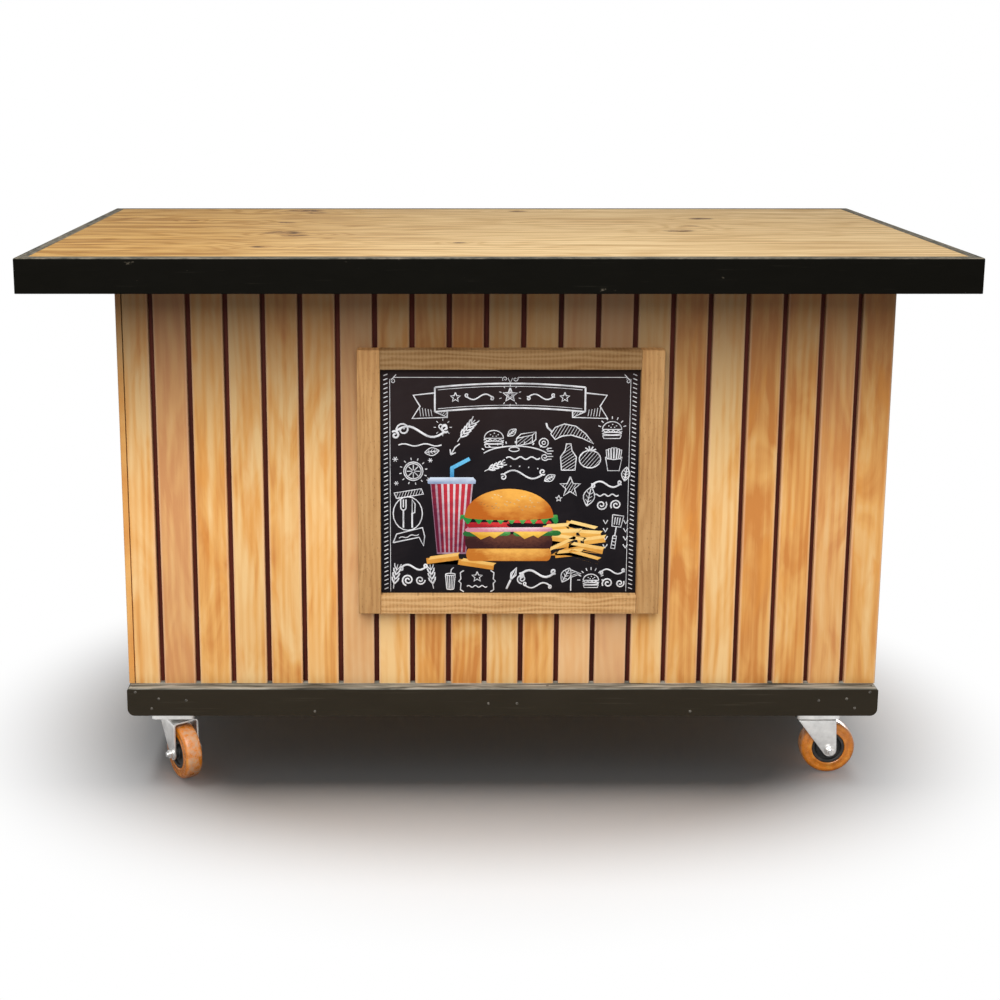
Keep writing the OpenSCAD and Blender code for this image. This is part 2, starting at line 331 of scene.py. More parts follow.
def slat_finish(name, first_edge, pitch, runs_along_y, seed):
    """Oiled slats, each a different board: honey, orange and pinkish brown, with paler edges that are partly wear and
    partly a painted highlight, and painted shade that darkens and browns them towards the worktop.
    """
    shades = timber()
    finish = Finish(name)
    x, y, z = finish.place()
    side, depth = (y, x) if runs_along_y else (x, y)
    count = ((side - first_edge) / pitch).floor()
    tone, start, heart = finish.chance(count + seed)
    across = side - first_edge - count * pitch - (pitch - GROOVE) / 2
    along = z + start * 9
    rings, fibres, blotches = board_figure(finish, across, along, depth * 0.2, heart)
    streaks = finish.noise(finish.vector(across * 80, along * 1.6, start * 30), detail=3, roughness=0.6)
    glow = finish.noise(finish.vector(across * 26, along * 7, heart * 70), detail=3, distortion=0.8)
    figure = rings * 0.10 + blotches * 0.75 + streaks * 0.34 + fibres * 0.12 - 0.16
    wood = finish.ramp(
        figure + (tone - 0.5) * 0.24,
        [(0.30, shades.slat_deep), (0.48, shades.slat_warm), (0.68, shades.slat_pale)],
    )
    pinkish = finish.mix(start.step(0.55, 0.95) * 0.60, wood, (0.68, 0.40, 0.225))
    orange = finish.mix(glow.step(0.52, 0.72) * (1.0 - start) * 0.75, pinkish, (0.72, 0.29, 0.052))
    # Paler edges: partly wear, partly a painted highlight where the edges catch the light.
    edge = across.abs().step((pitch - GROOVE) / 2 - 4.5 * MM, (pitch - GROOVE) / 2 - 1.0 * MM)
    worn = finish.mix(edge * 0.45, orange, (0.80, 0.52, 0.33))
    # Painted shade: darker and browner towards the worktop, on top of the real shadow that the worktop casts.
    shade = z.step(BODY_TOP - 0.50, BODY_TOP - 0.05, 1.0, 0.38) * (0.94 + heart * 0.10)
    painted_shade_tint = finish.mix(z.step(BODY_TOP - 0.34, BODY_TOP, 0.0, 0.30), worn, (0.50, 0.26, 0.15))
    return finish.done(
        base_color=finish.mix(1.0, painted_shade_tint, finish.grey(shade), "MULTIPLY"),
        specular_ior_level=0.22,
        roughness=0.46 + fibres * 0.12 - blotches * 0.06,
        normal=finish.bump(fibres * 0.6 + rings * 0.4, 0.25 * MM, 0.5),
    )


def groove_finish():
    """Dark wine-brown stain on the boards behind the slats."""
    finish = Finish("Wine stain")
    x, y, z = finish.place()
    streaks = finish.noise(finish.vector(x * 160, y * 160, z * 6), detail=4)
    stain = timber().groove
    return finish.done(
        base_color=finish.ramp(streaks, [(0.3, [c * 0.55 for c in stain]), (0.75, [c * 1.7 for c in stain])]),
        specular_ior_level=0.12,
        roughness=0.5 + streaks * 0.2,
        normal=finish.bump(streaks, 0.3 * MM),
    )


# Knots in the worktop's veneer: place in metres and size in millimetres
KNOTS = (
    (-0.382, 0.345, 22), (-0.350, 0.300, 14), (-0.400, 0.120, 10), (-0.388, -0.050, 22), (-0.362, -0.095, 15),
    (-0.405, -0.255, 12), (0.075, 0.335, 12), (0.360, -0.020, 16), (0.440, 0.190, 14), (0.395, 0.060, 10),
    (-0.060, -0.200, 7), (-0.590, 0.150, 6),
)


def plywood_finish():
    """Rotary-cut pine veneer: long wavy figure along X, with knots that the figure bends round."""
    shades = timber()
    finish = Finish("Varnished pine plywood")
    x, y, z = finish.place()
    height = finish.noise(finish.vector(x * 1.1, y * 5.0, 3.0), detail=3, roughness=0.5, distortion=0.5)
    dark = z * 0
    for knot_x, knot_y, radius in KNOTS:
        across, along = (y - knot_y) * 1.6, x - knot_x
        distance = (across * across + along * along).root()
        height = height + distance.step(0.0, radius * 9 * MM, 0.12, 0.0)
        dark = dark + distance.step(radius * 1.0 * MM, radius * 2.3 * MM, 1.0, 0.0)
    waver = finish.noise(finish.vector(x * 7, y * 60, 1.0), detail=3)
    rings = (height * 105 + waver * 2.2).sin() * 0.5 + 0.5
    fibres = finish.noise(finish.vector(x * 9, y * 380, 0.0), detail=4, roughness=0.65)
    streaks = finish.noise(finish.vector(x * 2.4, y * 74, 8.0), detail=4, roughness=0.62)
    clouds = finish.noise(finish.vector(x * 1.2, y * 2.5, 5.0), detail=2)
    figure = rings ** 2.0 * 0.30 + (streaks - 0.5) * 3.3 + (fibres - 0.5) * 2.0 + 0.33
    wood = finish.ramp(figure, [(0.12, shades.ply_pale), (0.48, shades.ply_warm), (0.92, shades.ply_deep)])
    pale = finish.ramp(figure, [(0.05, (0.86, 0.655, 0.37)), (0.95, (0.60, 0.39, 0.17))])
    bleached = finish.mix(x.step(-0.62, 0.0, 0.0, 0.66) * (0.60 + clouds * 0.8), wood, pale)
    slits = finish.noise(finish.vector(x * 16, y * 210, 2.0), detail=1).step(0.71, 0.78)
    spots = dark * finish.noise(finish.vector(x * 34, y * 120, 4.0), detail=2, distortion=0.6).step(0.46, 0.54)
    marked = finish.mix((dark * 0.35).math("MINIMUM", 0.5) + slits * 0.45, bleached, (0.30, 0.13, 0.036))
    return finish.done(
        base_color=finish.mix((spots * 0.95).math("MINIMUM", 1.0), marked, (0.060, 0.026, 0.010)),
        roughness=0.46 + fibres * 0.12 + rings * 0.05,
        specular_ior_level=0.04,
        normal=finish.bump(fibres * 0.5 - rings * 0.5 - spots, 0.22 * MM, 0.5),
    )


def rubbed(finish, edge_mask, noise, worn, base):
    """Paint rubbed through to bare timber where the mask and the noise meet."""
    return finish.mix((edge_mask * noise.step(0.38, 0.62)), base, worn)


def edging_finish(runs_along_y):
    """Black satin paint on timber, its top face painted grey: partly dust and paint rubbed through to timber, partly
    a painted sheen.
    """
    shades = paint()
    finish = Finish("Black edging along Y" if runs_along_y else "Black edging along X")
    x, y, z = finish.place()
    along, across = (y, x) if runs_along_y else (x, y)
    grain = finish.noise(finish.vector(along * 9, across * 200, z * 260), detail=4, roughness=0.6)
    patches = finish.noise(finish.vector(along * 14, across * 30, z * 30), detail=4, roughness=0.65)
    flakes = finish.noise(finish.vector(along * 45, across * 90, z * 90), detail=3, roughness=0.7)
    top = z.step(CART_HEIGHT - 2.2 * MM, CART_HEIGHT - 0.6 * MM)
    painted = finish.mix(patches * 0.75, shades.edging, (0.0062, 0.0056, 0.0042))
    scratched = finish.mix(grain.step(0.62, 0.74, 0.0, 0.5), painted, (0.022, 0.020, 0.015))
    # The grey top face is partly dust and rubbed paint, partly a painted sheen where the top catches the light.
    dusty = finish.mix(top * (0.55 + patches * 0.45), scratched, (0.072, 0.072, 0.058))
    chips_and_top_sheen = top * 0.8 + (flakes + patches * 0.6).step(1.02, 1.12, 0.0, 0.35)
    chipped_with_top_sheen = rubbed(finish, chips_and_top_sheen, flakes * 0.5 + grain * 0.5, (0.27, 0.23, 0.17), dusty)
    return finish.done(
        base_color=chipped_with_top_sheen,
        roughness=0.40 + grain * 0.20 + top * 0.10,
        specular_ior_level=0.02,
        normal=finish.bump(grain * 0.5 + patches * 0.5, 0.35 * MM, 0.6),
    )


def plinth_finish(runs_along_y):
    """Dark weathered paint on rough timber, its ledge rubbed to a streaky grey."""
    shades = paint()
    finish = Finish("Plinth paint along Y" if runs_along_y else "Plinth paint along X")
    x, y, z = finish.place()
    along, across = (y, x) if runs_along_y else (x, y)
    grain = finish.noise(finish.vector(along * 6, across * 170, z * 170), detail=5, roughness=0.62)
    patches = finish.noise(finish.vector(along * 9, across * 26, z * 26), detail=4, roughness=0.6)
    streaks = finish.noise(finish.vector(along * 11, across * 120, z * 60), detail=4, distortion=0.6)
    ledge = z.step(PLINTH_TOP - 3.0 * MM, PLINTH_TOP - 0.8 * MM)
    painted = finish.mix(patches * 0.8, shades.plinth, (0.034, 0.027, 0.018))
    scratched = finish.mix(grain.step(0.60, 0.72, 0.0, 0.35), painted, (0.060, 0.050, 0.034))
    grey = finish.ramp(
        streaks, [(0.34, (0.060, 0.057, 0.046)), (0.50, shades.worn), (0.66, (0.40, 0.38, 0.32))]
    )
    return finish.done(
        base_color=finish.mix(ledge * 0.96, scratched, grey),
        roughness=0.52 + patches * 0.16,
        specular_ior_level=0.08,
        normal=finish.bump(grain * 0.6 + streaks * 0.4, 0.6 * MM, 0.7),
    )


def sign_timber_finish(name, runs_along_x, seed, tone=1.0):
    """Rough-sawn pine with fine dark pores, a few knots and, on level bars, saw marks across the grain. Its colours
    are scaled by tone as painted light and shade: below 1 is painted shade, above 1 painted light.
    """
    shades = timber()
    finish = Finish(name)
    x, y, z = finish.place()
    along, across = (x, z) if runs_along_x else (z, x)
    middle = finish.noise(finish.vector(along * 5.5, across * 34, seed), detail=3, distortion=0.8)
    rings = (across * 620 + middle * 17).sin() * 0.5 + 0.5
    fibres = finish.noise(finish.vector(along * 26, across * 620, y * 200), detail=4, roughness=0.65)
    blotches = finish.noise(finish.vector(along * 7, across * 24, seed * 3), detail=3, roughness=0.55)
    pores = finish.noise(finish.vector(along * 180, across * 420, seed), detail=1).step(0.64, 0.74)
    saw = (along * 2 * math.pi / (6.5 * MM) + blotches * 3).sin() * (0.5 if runs_along_x else 0.0) + 0.5
    figure = rings * (0.30 if runs_along_x else 0.12) + fibres * 0.26 + blotches * 0.52 + saw * 0.14
    wood = finish.ramp(
        figure,
        [
            (0.30, [c * tone for c in shades.sign_deep]), (0.54, [c * tone for c in (0.49, 0.27, 0.105)]),
            (0.80, [c * tone for c in shades.sign_pale]),
        ],
    )
    spots = finish.node(
        "ShaderNodeTexVoronoi", {"feature": "F1"},
        {"Vector": finish.vector(along * 7.5, across * 15, seed * 5), "Scale": 1.0},
    )
    knots = Value(finish, spots.outputs["Distance"]).step(0.06, 0.12, 1.0, 0.0)
    dotted = finish.mix(pores * 0.42, wood, (0.16, 0.075, 0.03))
    return finish.done(
        base_color=finish.mix(knots * 0.62, dotted, (0.17, 0.075, 0.03)),
        roughness=0.66 + fibres * 0.15,
        specular_ior_level=0.15,
        normal=finish.bump(fibres * 0.5 + saw * 0.25 - pores * 0.6, 0.5 * MM, 0.8),
    )


def raw_timber_finish():
    """Planed pine of the hidden frame."""
    finish = Finish("Planed pine")
    x, y, z = finish.place()
    grain = finish.noise(finish.vector(x * 22, y * 120, z * 22), detail=4, distortion=0.7)
    return finish.done(
        base_color=finish.ramp(grain, [(0.3, (0.40, 0.24, 0.11)), (0.7, (0.62, 0.45, 0.25))]),
        roughness=0.62 + grain * 0.1,
        normal=finish.bump(grain, 0.3 * MM),
    )


def board_finish():
    """Matt chalkboard with a haze of rubbed chalk."""
    finish = Finish("Chalkboard")
    x, y, z = finish.place()
    haze = finish.noise(finish.vector(x * 9, 0.0, z * 6), detail=5, roughness=0.6, distortion=0.8)
    strokes = finish.noise(finish.vector(x * 14 + z * 30, 0.0, z * 90 - x * 30), detail=3)
    lower = z.step(BOARD_LOW[2] + 0.22, BOARD_LOW[2] + 0.34, 1.0, 0.0)
    slate = finish.mix(lower * 0.85, paint().board, (0.0055, 0.0050, 0.0070))
    return finish.done(
        base_color=finish.mix(haze.step(0.35, 0.75) * strokes * 0.40, slate, (0.036, 0.029, 0.031)),
        roughness=0.62 + haze * 0.16,
        specular_ior_level=0.06,
        normal=finish.bump(strokes, 0.05 * MM, 0.4),
    )


def chalk_finish():
    """White chalk that skips a little over the board."""
    finish = Finish("White chalk")
    x, y, z = finish.place()
    grain = finish.noise(finish.vector(x * 900, 0.0, z * 900), detail=3, roughness=0.7)
    press = finish.noise(finish.vector(x * 40, 0.0, z * 40), detail=2)
    shade = grain * 0.55 + press * 0.45
    return finish.done(
        base_color=finish.ramp(shade, [(0.34, (0.30, 0.30, 0.32)), (0.54, paint().chalk)]),
        roughness=0.9,
        specular_ior_level=0.1,
    )


def drawn_finish(name, light, dark, low, high, scale=30, middle=None, half=1.0):
    """Colour for the drawn food: mottled, darker below and, where a middle is given, towards both sides."""
    finish = Finish(name)
    x, y, z = finish.place()
    mottle = finish.noise(finish.vector(x * scale, 0.0, z * scale * 2), detail=3, roughness=0.65)
    lit = z.step(low, high) * 0.85 + (mottle - 0.5) * 1.4 + 0.15
    if middle is not None:
        lit = lit - (x - middle - half * 0.15).abs().step(half * 0.35, half * 1.05, 0.0, 0.85)
    lit = lit.math("MINIMUM", 1.0).math("MAXIMUM", 0.0)
    return finish.done(
        base_color=finish.mix(lit, dark, light),
        roughness=0.55 + mottle * 0.1,
        specular_ior_level=0.1,
    )


def tread_finish(name, centre, axle):
    """Amber polyurethane, glossy on its sides and scuffed pale where it rolls."""
    finish = Finish(name)
    x, y, z = finish.place()
    offset = [part - middle for part, middle in zip((x, y, z), centre)]
    sideways = offset[0] * axle[0] + offset[1] * axle[1] + offset[2] * axle[2]
    away = (offset[0] * offset[0] + offset[1] * offset[1] + offset[2] * offset[2] - sideways * sideways).root()
    rolling = away.step(46.5 * MM, 49.4 * MM)
    clouds = finish.noise(finish.vector(x * 60, y * 60, z * 60), detail=4, roughness=0.6)
    scuffs = finish.noise(finish.vector(x * 190, y * 190, z * 190), detail=4, roughness=0.7)
    amber = paint().amber
    body = finish.ramp(
        clouds, [(0.30, [c * 0.72 for c in amber]), (0.52, amber), (0.72, (0.76, 0.31, 0.035))]
    )
    marks = rolling * (clouds * 0.6 + scuffs * 0.6).step(0.50, 0.74)
    return finish.done(
        base_color=finish.mix(marks * 0.80, body, (0.50, 0.34, 0.24)),
        roughness=0.24 + marks * 0.40 + scuffs * 0.06,
        coat_weight=0.30 - marks * 0.30,
        coat_roughness=0.12,
        normal=finish.bump(scuffs * 0.5 + clouds * 0.5, 0.25 * MM, 0.35),
    )


def hub_finish():
    """Black moulded nylon, a little dusty."""
    finish = Finish("Black nylon")
    x, y, z = finish.place()
    dust = finish.noise(finish.vector(x * 70, y * 70, z * 70), detail=4, roughness=0.65)
    return finish.done(
        base_color=finish.mix(dust.step(0.45, 0.75) * 0.5, paint().hub, (0.075, 0.068, 0.06)),
        roughness=0.38 + dust * 0.22,
        normal=finish.bump(dust, 0.1 * MM, 0.4),
    )


def zinc_finish(name, shine):
    """Zinc-plated steel: bright, softly clouded and finely scratched."""
    finish = Finish(name)
    x, y, z = finish.place()
    clouds = finish.noise(finish.vector(x * 45, y * 45, z * 45), detail=4, roughness=0.6)
    scratches = finish.noise(finish.vector(x * 160, y * 160, z * 900), detail=3, roughness=0.7)
    zinc = paint().zinc
    return finish.done(
        base_color=finish.ramp(clouds, [(0.30, [c * 0.74 for c in zinc]), (0.62, zinc)]),
        metallic=0.92,
        roughness=shine + clouds * 0.16 + scratches * 0.10,
        normal=finish.bump(scratches, 0.06 * MM, 0.4),
    )


def nail_finish():
    """Steel nail heads with the plinth's paint half rubbed off."""
    finish = Finish("Nail head")
    x, y, z = finish.place()
    rub = finish.noise(finish.vector(x * 400, y * 400, z * 400), detail=2)
    return finish.done(
        base_color=finish.ramp(rub, [(0.42, (0.035, 0.030, 0.024)), (0.56, (0.15, 0.135, 0.11))]),
        metallic=0.2,
        roughness=0.45 + rub * 0.2,
    )


# ---- Modelling -------------------------------------------------------------------------


def fresh_start():
    """Leaves edit mode and selects nothing, so that the next operator acts on its own piece only."""
    if bpy.context.object and bpy.context.object.mode != "OBJECT":
        bpy.ops.object.mode_set(mode="OBJECT")
    bpy.ops.object.select_all(action="DESELECT")


def work_on(piece):
    fresh_start()
    piece.select_set(True)
    bpy.context.view_layer.objects.active = piece


def add(name, kind, **settings):
    """Adds a primitive of the given kind and names it."""
    fresh_start()
    getattr(bpy.ops.mesh, f"primitive_{kind}_add")(**settings)
    piece = bpy.context.object
    piece.name = piece.data.name = name
    return piece


def settle(piece):
    """Moves a piece's place, turn and size into its mesh."""
    work_on(piece)
    bpy.ops.object.transform_apply(location=True, rotation=True, scale=True)
    return piece


def modify(piece, kind, **settings):
    """Adds a modifier and applies it."""
    work_on(piece)
    modifier = piece.modifiers.new(kind.title(), kind)
    for key, value in settings.items():
        setattr(modifier, key, value)
    bpy.ops.object.modifier_apply(modifier=modifier.name)
    return piece


def rounded(piece, width, segments=2, angle=40):
    modify(piece, "BEVEL", width=width, segments=segments, limit_method="ANGLE", angle_limit=math.radians(30))
    work_on(piece)
    bpy.ops.object.shade_smooth_by_angle(angle=math.radians(angle))
    return piece


def tidy_mesh(piece, gap=0.01 * MM):
    """Merges doubles and turns every face outwards."""
    work_on(piece)
    bpy.ops.object.mode_set(mode="EDIT")
    bpy.ops.mesh.select_all(action="SELECT")
    bpy.ops.mesh.remove_doubles(threshold=gap)
    bpy.ops.mesh.normals_make_consistent(inside=False)
    bpy.ops.object.mode_set(mode="OBJECT")
    return piece


def joined(name, pieces):
    fresh_start()
    for piece in pieces:
        piece.select_set(True)
    bpy.context.view_layer.objects.active = pieces[0]
    if len(pieces) > 1:
        bpy.ops.object.join()
    pieces[0].name = pieces[0].data.name = name
    return pieces[0]


def block(name, low, high):
    """A box between two corners."""
    low, high = Vector(low), Vector(high)
    return settle(add(name, "cube", size=1, location=(low + high) / 2, scale=high - low))


def turned(name, profile, steps, closed=True):
    """A piece turned on a lathe about the Z axis from (radius, height) points.

    A closed profile makes a ring. An open one starts and ends on the axis and makes a solid.
    """
    piece = add(name, "circle", vertices=len(profile), radius=1)
    for vertex, (radius, height) in zip(piece.data.vertices, profile):
        vertex.co = (radius, 0, height)
    if not closed:
        last = len(profile) - 1
        for edge in piece.data.edges:
            edge.select = set(edge.vertices) == {0, last}
        for vertex in piece.data.vertices:
            vertex.select = vertex.index in (0, last)
        bpy.ops.object.mode_set(mode="EDIT")
        bpy.ops.mesh.select_mode(type="EDGE")
        bpy.ops.mesh.delete(type="EDGE_FACE")
        bpy.ops.mesh.select_mode(type="VERT")
        bpy.ops.object.mode_set(mode="OBJECT")
    work_on(piece)
    bpy.ops.object.mode_set(mode="EDIT")
    bpy.ops.mesh.select_all(action="SELECT")
    bpy.ops.mesh.spin(steps=steps, angle=2 * math.pi, center=(0, 0, 0), axis=(0, 0, 1))
    bpy.ops.object.mode_set(mode="OBJECT")
    tidy_mesh(piece)
    work_on(piece)
    bpy.ops.object.shade_smooth_by_angle(angle=math.radians(35))
    return piece


def arc(centre, radius, start, end, steps):
    """Points of an arc in a plane, with angles in degrees."""
    angles = [math.radians(start + (end - start) * i / steps) for i in range(steps + 1)]
    return [(centre[0] + radius * math.cos(a), centre[1] + radius * math.sin(a)) for a in angles]


def hexagon_head(name, radius, height, place, steps=6):
    """A hexagon head or nut with a chamfered top, standing on z = 0 before it is placed."""
    head = add(name, "cylinder", vertices=steps, radius=radius, depth=height, location=(0, 0, height / 2))
    settle(head)
    rounded(head, radius * 0.10, 2, 25)
    head.data.transform(place)
    return head


def washer(name, radius, thick, place):
    ring = settle(add(name, "cylinder", vertices=32, radius=radius, depth=thick, location=(0, 0, thick / 2)))
    rounded(ring, thick * 0.3, 2)
    ring.data.transform(place)
    return ring


def dress(piece, body, slot, *materials, replaces=()):
    """Gives a finished piece its materials and its body, and hides the CAD nodes that it stands for. The slot
    argument is not used.
    """
    for material in materials:
        piece.data.materials.append(material)
    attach(piece, body)
    if replaces:
        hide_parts(*replaces)
    return piece


def repaint(node, material):
    """Gives a CAD node its finish."""
    slots = NODES[node].material_slots
    if not slots:
        NODES[node].data.materials.append(material)
    for slot in slots:
        slot.material = material


def soften(node, width):
    """Rounds a CAD board's sharp edges with live modifiers, which leave its own mesh alone."""
    weld = NODES[node].modifiers.new("Weld", "WELD")
    weld.merge_threshold = 0.02 * MM
    bevel = NODES[node].modifiers.new("Bevel", "BEVEL")
    bevel.width, bevel.segments = width, 3
    bevel.limit_method, bevel.angle_limit = "ANGLE", math.radians(30)


# ---- Worktop, body and plinth ----------------------------------------------------------


class CART_OT_worktop(bpy.types.Operator):
    """Varnish the plywood panel and paint its edging"""

    bl_idname = "cart.worktop"
    bl_label = "Worktop"

    def execute(self, context):
        repaint("top_panel", plywood_finish())
        along_x, along_y = edging_finish(False), edging_finish(True)
        for side, material in (("front", along_x), ("back", along_x), ("left", along_y), ("right", along_y)):
            repaint(f"edging_{side}", material)
            soften(f"edging_{side}", sizes().board_bevel * 0.5)
        return {"FINISHED"}


class CART_OT_body(bpy.types.Operator):
    """Oil the slats, stain the boards behind them and finish the hidden frame"""

    bl_idname = "cart.body"
    bl_label = "Slatted body"

    def execute(self, context):
        long_pitch = (BODY_RIGHT - BODY_LEFT + GROOVE) / SLATS_LONG
        short_pitch = (BODY_BACK - BODY_FRONT + GROOVE) / SLATS_SHORT
        # Each row is counted from its own full end, so that no board changes tone part way
        repaint("slats_front", slat_finish("Front slats", BODY_LEFT, long_pitch, False, 3.0))
        repaint("slats_back", slat_finish("Back slats", BODY_LEFT - GROOVE, long_pitch, False, 131.0))
        repaint("slats_right", slat_finish("Right slats", BODY_FRONT, short_pitch, True, 57.0))
        repaint("slats_left", slat_finish("Left slats", BODY_FRONT - GROOVE, short_pitch, True, 83.0))
        stain = groove_finish()
        for side in ("front", "back", "left", "right"):
            repaint(f"backing_{side}", stain)
        pine = raw_timber_finish()
        for node in ("corner_posts", "top_rails", "floor_board"):
            repaint(node, pine)
        return {"FINISHED"}


def nail(name, place, facing):
    """A slightly domed nail head, pointing the way it faces."""
    radius = sizes().nail_radius
    head = settle(add(name, "uv_sphere", segments=14, ring_count=8, radius=1, scale=(radius, radius, 0.7 * MM)))
    turn = Vector((0, 0, 1)).rotation_difference(Vector(facing)).to_matrix().to_4x4()
    head.data.transform(Matrix.Translation(place) @ turn)
    work_on(head)
    bpy.ops.object.shade_smooth()
    return head


class CART_OT_plinth(bpy.types.Operator):
    """Paint the plinth and drive its nails"""

    bl_idname = "cart.plinth"
    bl_label = "Plinth"

    def execute(self, context):
        along_x, along_y = plinth_finish(False), plinth_finish(True)
        for side, material in (("front", along_x), ("back", along_x), ("left", along_y), ("right", along_y)):
            repaint(f"plinth_{side}", material)
            soften(f"plinth_{side}", sizes().board_bevel)
        dice = random.Random(11)
        low, high = PLINTH_LOW, PLINTH_HIGH
        heads = []
        for y, facing in ((low[1], (0, -1, 0)), (PLINTH_BACK, (0, 1, 0))):
            for near, up in ((15, 46), (57, 33), (44, 14), (107, 30), (340, 9), (655, 24)):
                for x in (low[0] + near * MM, high[0] - near * MM):
                    drift = dice.uniform(-3, 3) * MM if x > 0 else 0
                    heads.append(nail("nail", (x + drift, y, low[2] + up * MM + drift / 2), facing))
        for x, facing in ((low[0], (-1, 0, 0)), (high[0], (1, 0, 0))):
            for y in (-150, -40, 90, 170):
                heads.append(nail("nail", (x, y * MM, low[2] + (26 + dice.uniform(-6, 6)) * MM), facing))
        for x in (low[0] + 10 * MM, 0.1, high[0] - 10 * MM):
            heads.append(nail("nail", (x, low[1] + 12 * MM, high[2]), (0, 0, 1)))
        dress(joined("plinth_nails", heads), "root", "plinth_paint", nail_finish())
        return {"FINISHED"}


# ---- Chalkboard ------------------------------------------------------------------------


class CART_OT_frame(bpy.types.Operator):
    """Saw the four bars of the chalkboard's frame"""

    bl_idname = "cart.frame"
    bl_label = "Chalkboard frame"

    def execute(self, context):
        bars = (
            ("sign_stile_left", sign_timber_finish("Sawn pine left", False, 2.0)),
            ("sign_stile_right", sign_timber_finish("Sawn pine right", False, 5.0)),
            # Painted shade on the upper rail (tone 0.52) and painted light on the lower rail (tone 1.08): the same
            # timber, shaded and lit.
            ("sign_rail_top", sign_timber_finish("Sawn pine upper", True, 7.0, 0.52)),
            ("sign_rail_bottom", sign_timber_finish("Sawn pine lower", True, 12.0, 1.08)),
        )
        for seed, (node, material) in enumerate(bars):
            low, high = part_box(node)
            bar = block(node.replace("sign", "frame"), low, high)
            work_on(bar)
            bpy.ops.object.mode_set(mode="EDIT")
            bpy.ops.mesh.select_all(action="SELECT")
            bpy.ops.mesh.bevel(offset=sizes().frame_bevel, segments=2, affect="EDGES")
            bpy.ops.mesh.select_all(action="SELECT")
            bpy.ops.mesh.subdivide(number_cuts=9)
            bpy.ops.transform.vertex_random(offset=0.22 * MM, seed=seed + 1)
            bpy.ops.object.mode_set(mode="OBJECT")
            bpy.ops.object.shade_smooth_by_angle(angle=math.radians(30))
            dress(bar, "root", "sign_timber", material, replaces=(node,))
        repaint("sign_board", board_finish())
        return {"FINISHED"}


class Drawing:
    """Strokes and filled shapes on the chalkboard, in millimetres from the board's middle.

    Points are (right, up). Each colour becomes one thin raised piece.
    """

    def __init__(self):
        self.strokes, self.fills = [], []

    def line(self, *points, width=1.0):
        self.strokes.append((list(points), width))

    def ring(self, x, y, rx, ry=None, start=0, end=360, steps=16, width=1.0, tilt=0):
        """An arc of an ellipse as a stroke."""
        self.line(*oval(x, y, rx, ry or rx, start, end, steps, tilt), width=width)

    def fill(self, points):
        self.fills.append(list(points))

    def piece(self, name, layer, thick=0.12):
        """Makes the drawing a mesh that lies on the board, the given layer above it."""
        parts = []
        face = BOARD_LOW[1] - layer * MM
        if self.strokes:
            curve = new_curve(name + "_strokes", "3D")
            curve.bevel_depth, curve.bevel_resolution = sizes().chalk_width / 2, 1
            curve.use_fill_caps = True
            for points, width in self.strokes:
                add_spline(curve, points, False, width)
            parts.append(curve_mesh(0.16))
        if self.fills:
            curve = new_curve(name + "_fills", "2D")
            curve.fill_mode, curve.extrude = "BOTH", thick * MM / 2
            for points in self.fills:
                add_spline(curve, points, True, 1)
            parts.append(curve_mesh(1))
        art = joined(name, parts)
        upright = Matrix.Rotation(math.pi / 2, 4, "X")
        art.data.transform(Matrix.Translation((board_middle(), face, in_board(0))) @ upright)
        return art


def new_curve(name, dimensions):
    """Adds a curve and empties it, ready for its strokes."""
    fresh_start()
    bpy.ops.curve.primitive_bezier_curve_add()
    bpy.context.object.name = name
    curve = bpy.context.object.data
    curve.splines.clear()
    curve.dimensions = dimensions
    return curve


def add_spline(curve, points, cyclic, width):
    spline = curve.splines.new("POLY")
    spline.points.add(len(points) - 1)
    for place, (x, y) in zip(spline.points, points):
        place.co = (x * MM, y * MM, 0, 1)
        place.radius = width
    spline.use_cyclic_u = cyclic


def curve_mesh(flatten):
    """Turns the active curve into a mesh, flattened towards the board."""
    bpy.ops.object.convert(target="MESH")
    piece = bpy.context.object
    piece.data.transform(Matrix.Diagonal((1, 1, flatten, 1)))
    return piece


def oval(x, y, rx, ry, start=0, end=360, steps=16, tilt=0):
    """Points of an ellipse's arc."""
    turn = math.radians(tilt)
    points = []
    for i in range(steps + 1):
        a = math.radians(start + (end - start) * i / steps)
        u, v = rx * math.cos(a), ry * math.sin(a)
        points.append((x + u * math.cos(turn) - v * math.sin(turn), y + u * math.sin(turn) + v * math.cos(turn)))
    return points


def moved(points, x, y, scale=1.0, tilt=0):
    """Points turned by tilt degrees, scaled and moved."""
    turn = math.radians(tilt)
    c, s = math.cos(turn) * scale, math.sin(turn) * scale
    return [(x + u * c - v * s, y + u * s + v * c) for u, v in points]


def wave(x0, x1, y, height, waves, steps_each=6):
    """Points of a wavy line."""
    count = waves * steps_each
    return [
        (x0 + (x1 - x0) * i / count, y + height * math.sin(2 * math.pi * i / steps_each)) for i in range(count + 1)
    ]


def star(art, x, y, radius, tilt=90, width=0.8):
    points = []
    for i in range(11):
        reach = radius if i % 2 == 0 else radius * 0.42
        a = math.radians(tilt + i * 36)
        points.append((x + reach * math.cos(a), y + reach * math.sin(a)))
    art.line(*points, width=width)


def leaf(art, x, y, size, tilt, width=0.7):
    """A leaf with a midrib and side veins."""
    upper = [(i / 6, 0.28 * math.sin(math.pi * i / 6)) for i in range(7)]
    lower = [(u, -v) for u, v in upper]
    for points in (upper, lower, [(0.0, 0.0), (0.9, 0.0)]):
        art.line(*moved(points, x, y, size, tilt), width=width)
    for i in (1, 2, 3):
        for side in (-1, 1):
            art.line(*moved([(i * 0.2, 0), (i * 0.2 + 0.14, side * 0.15)], x, y, size, tilt), width=width * 0.7)


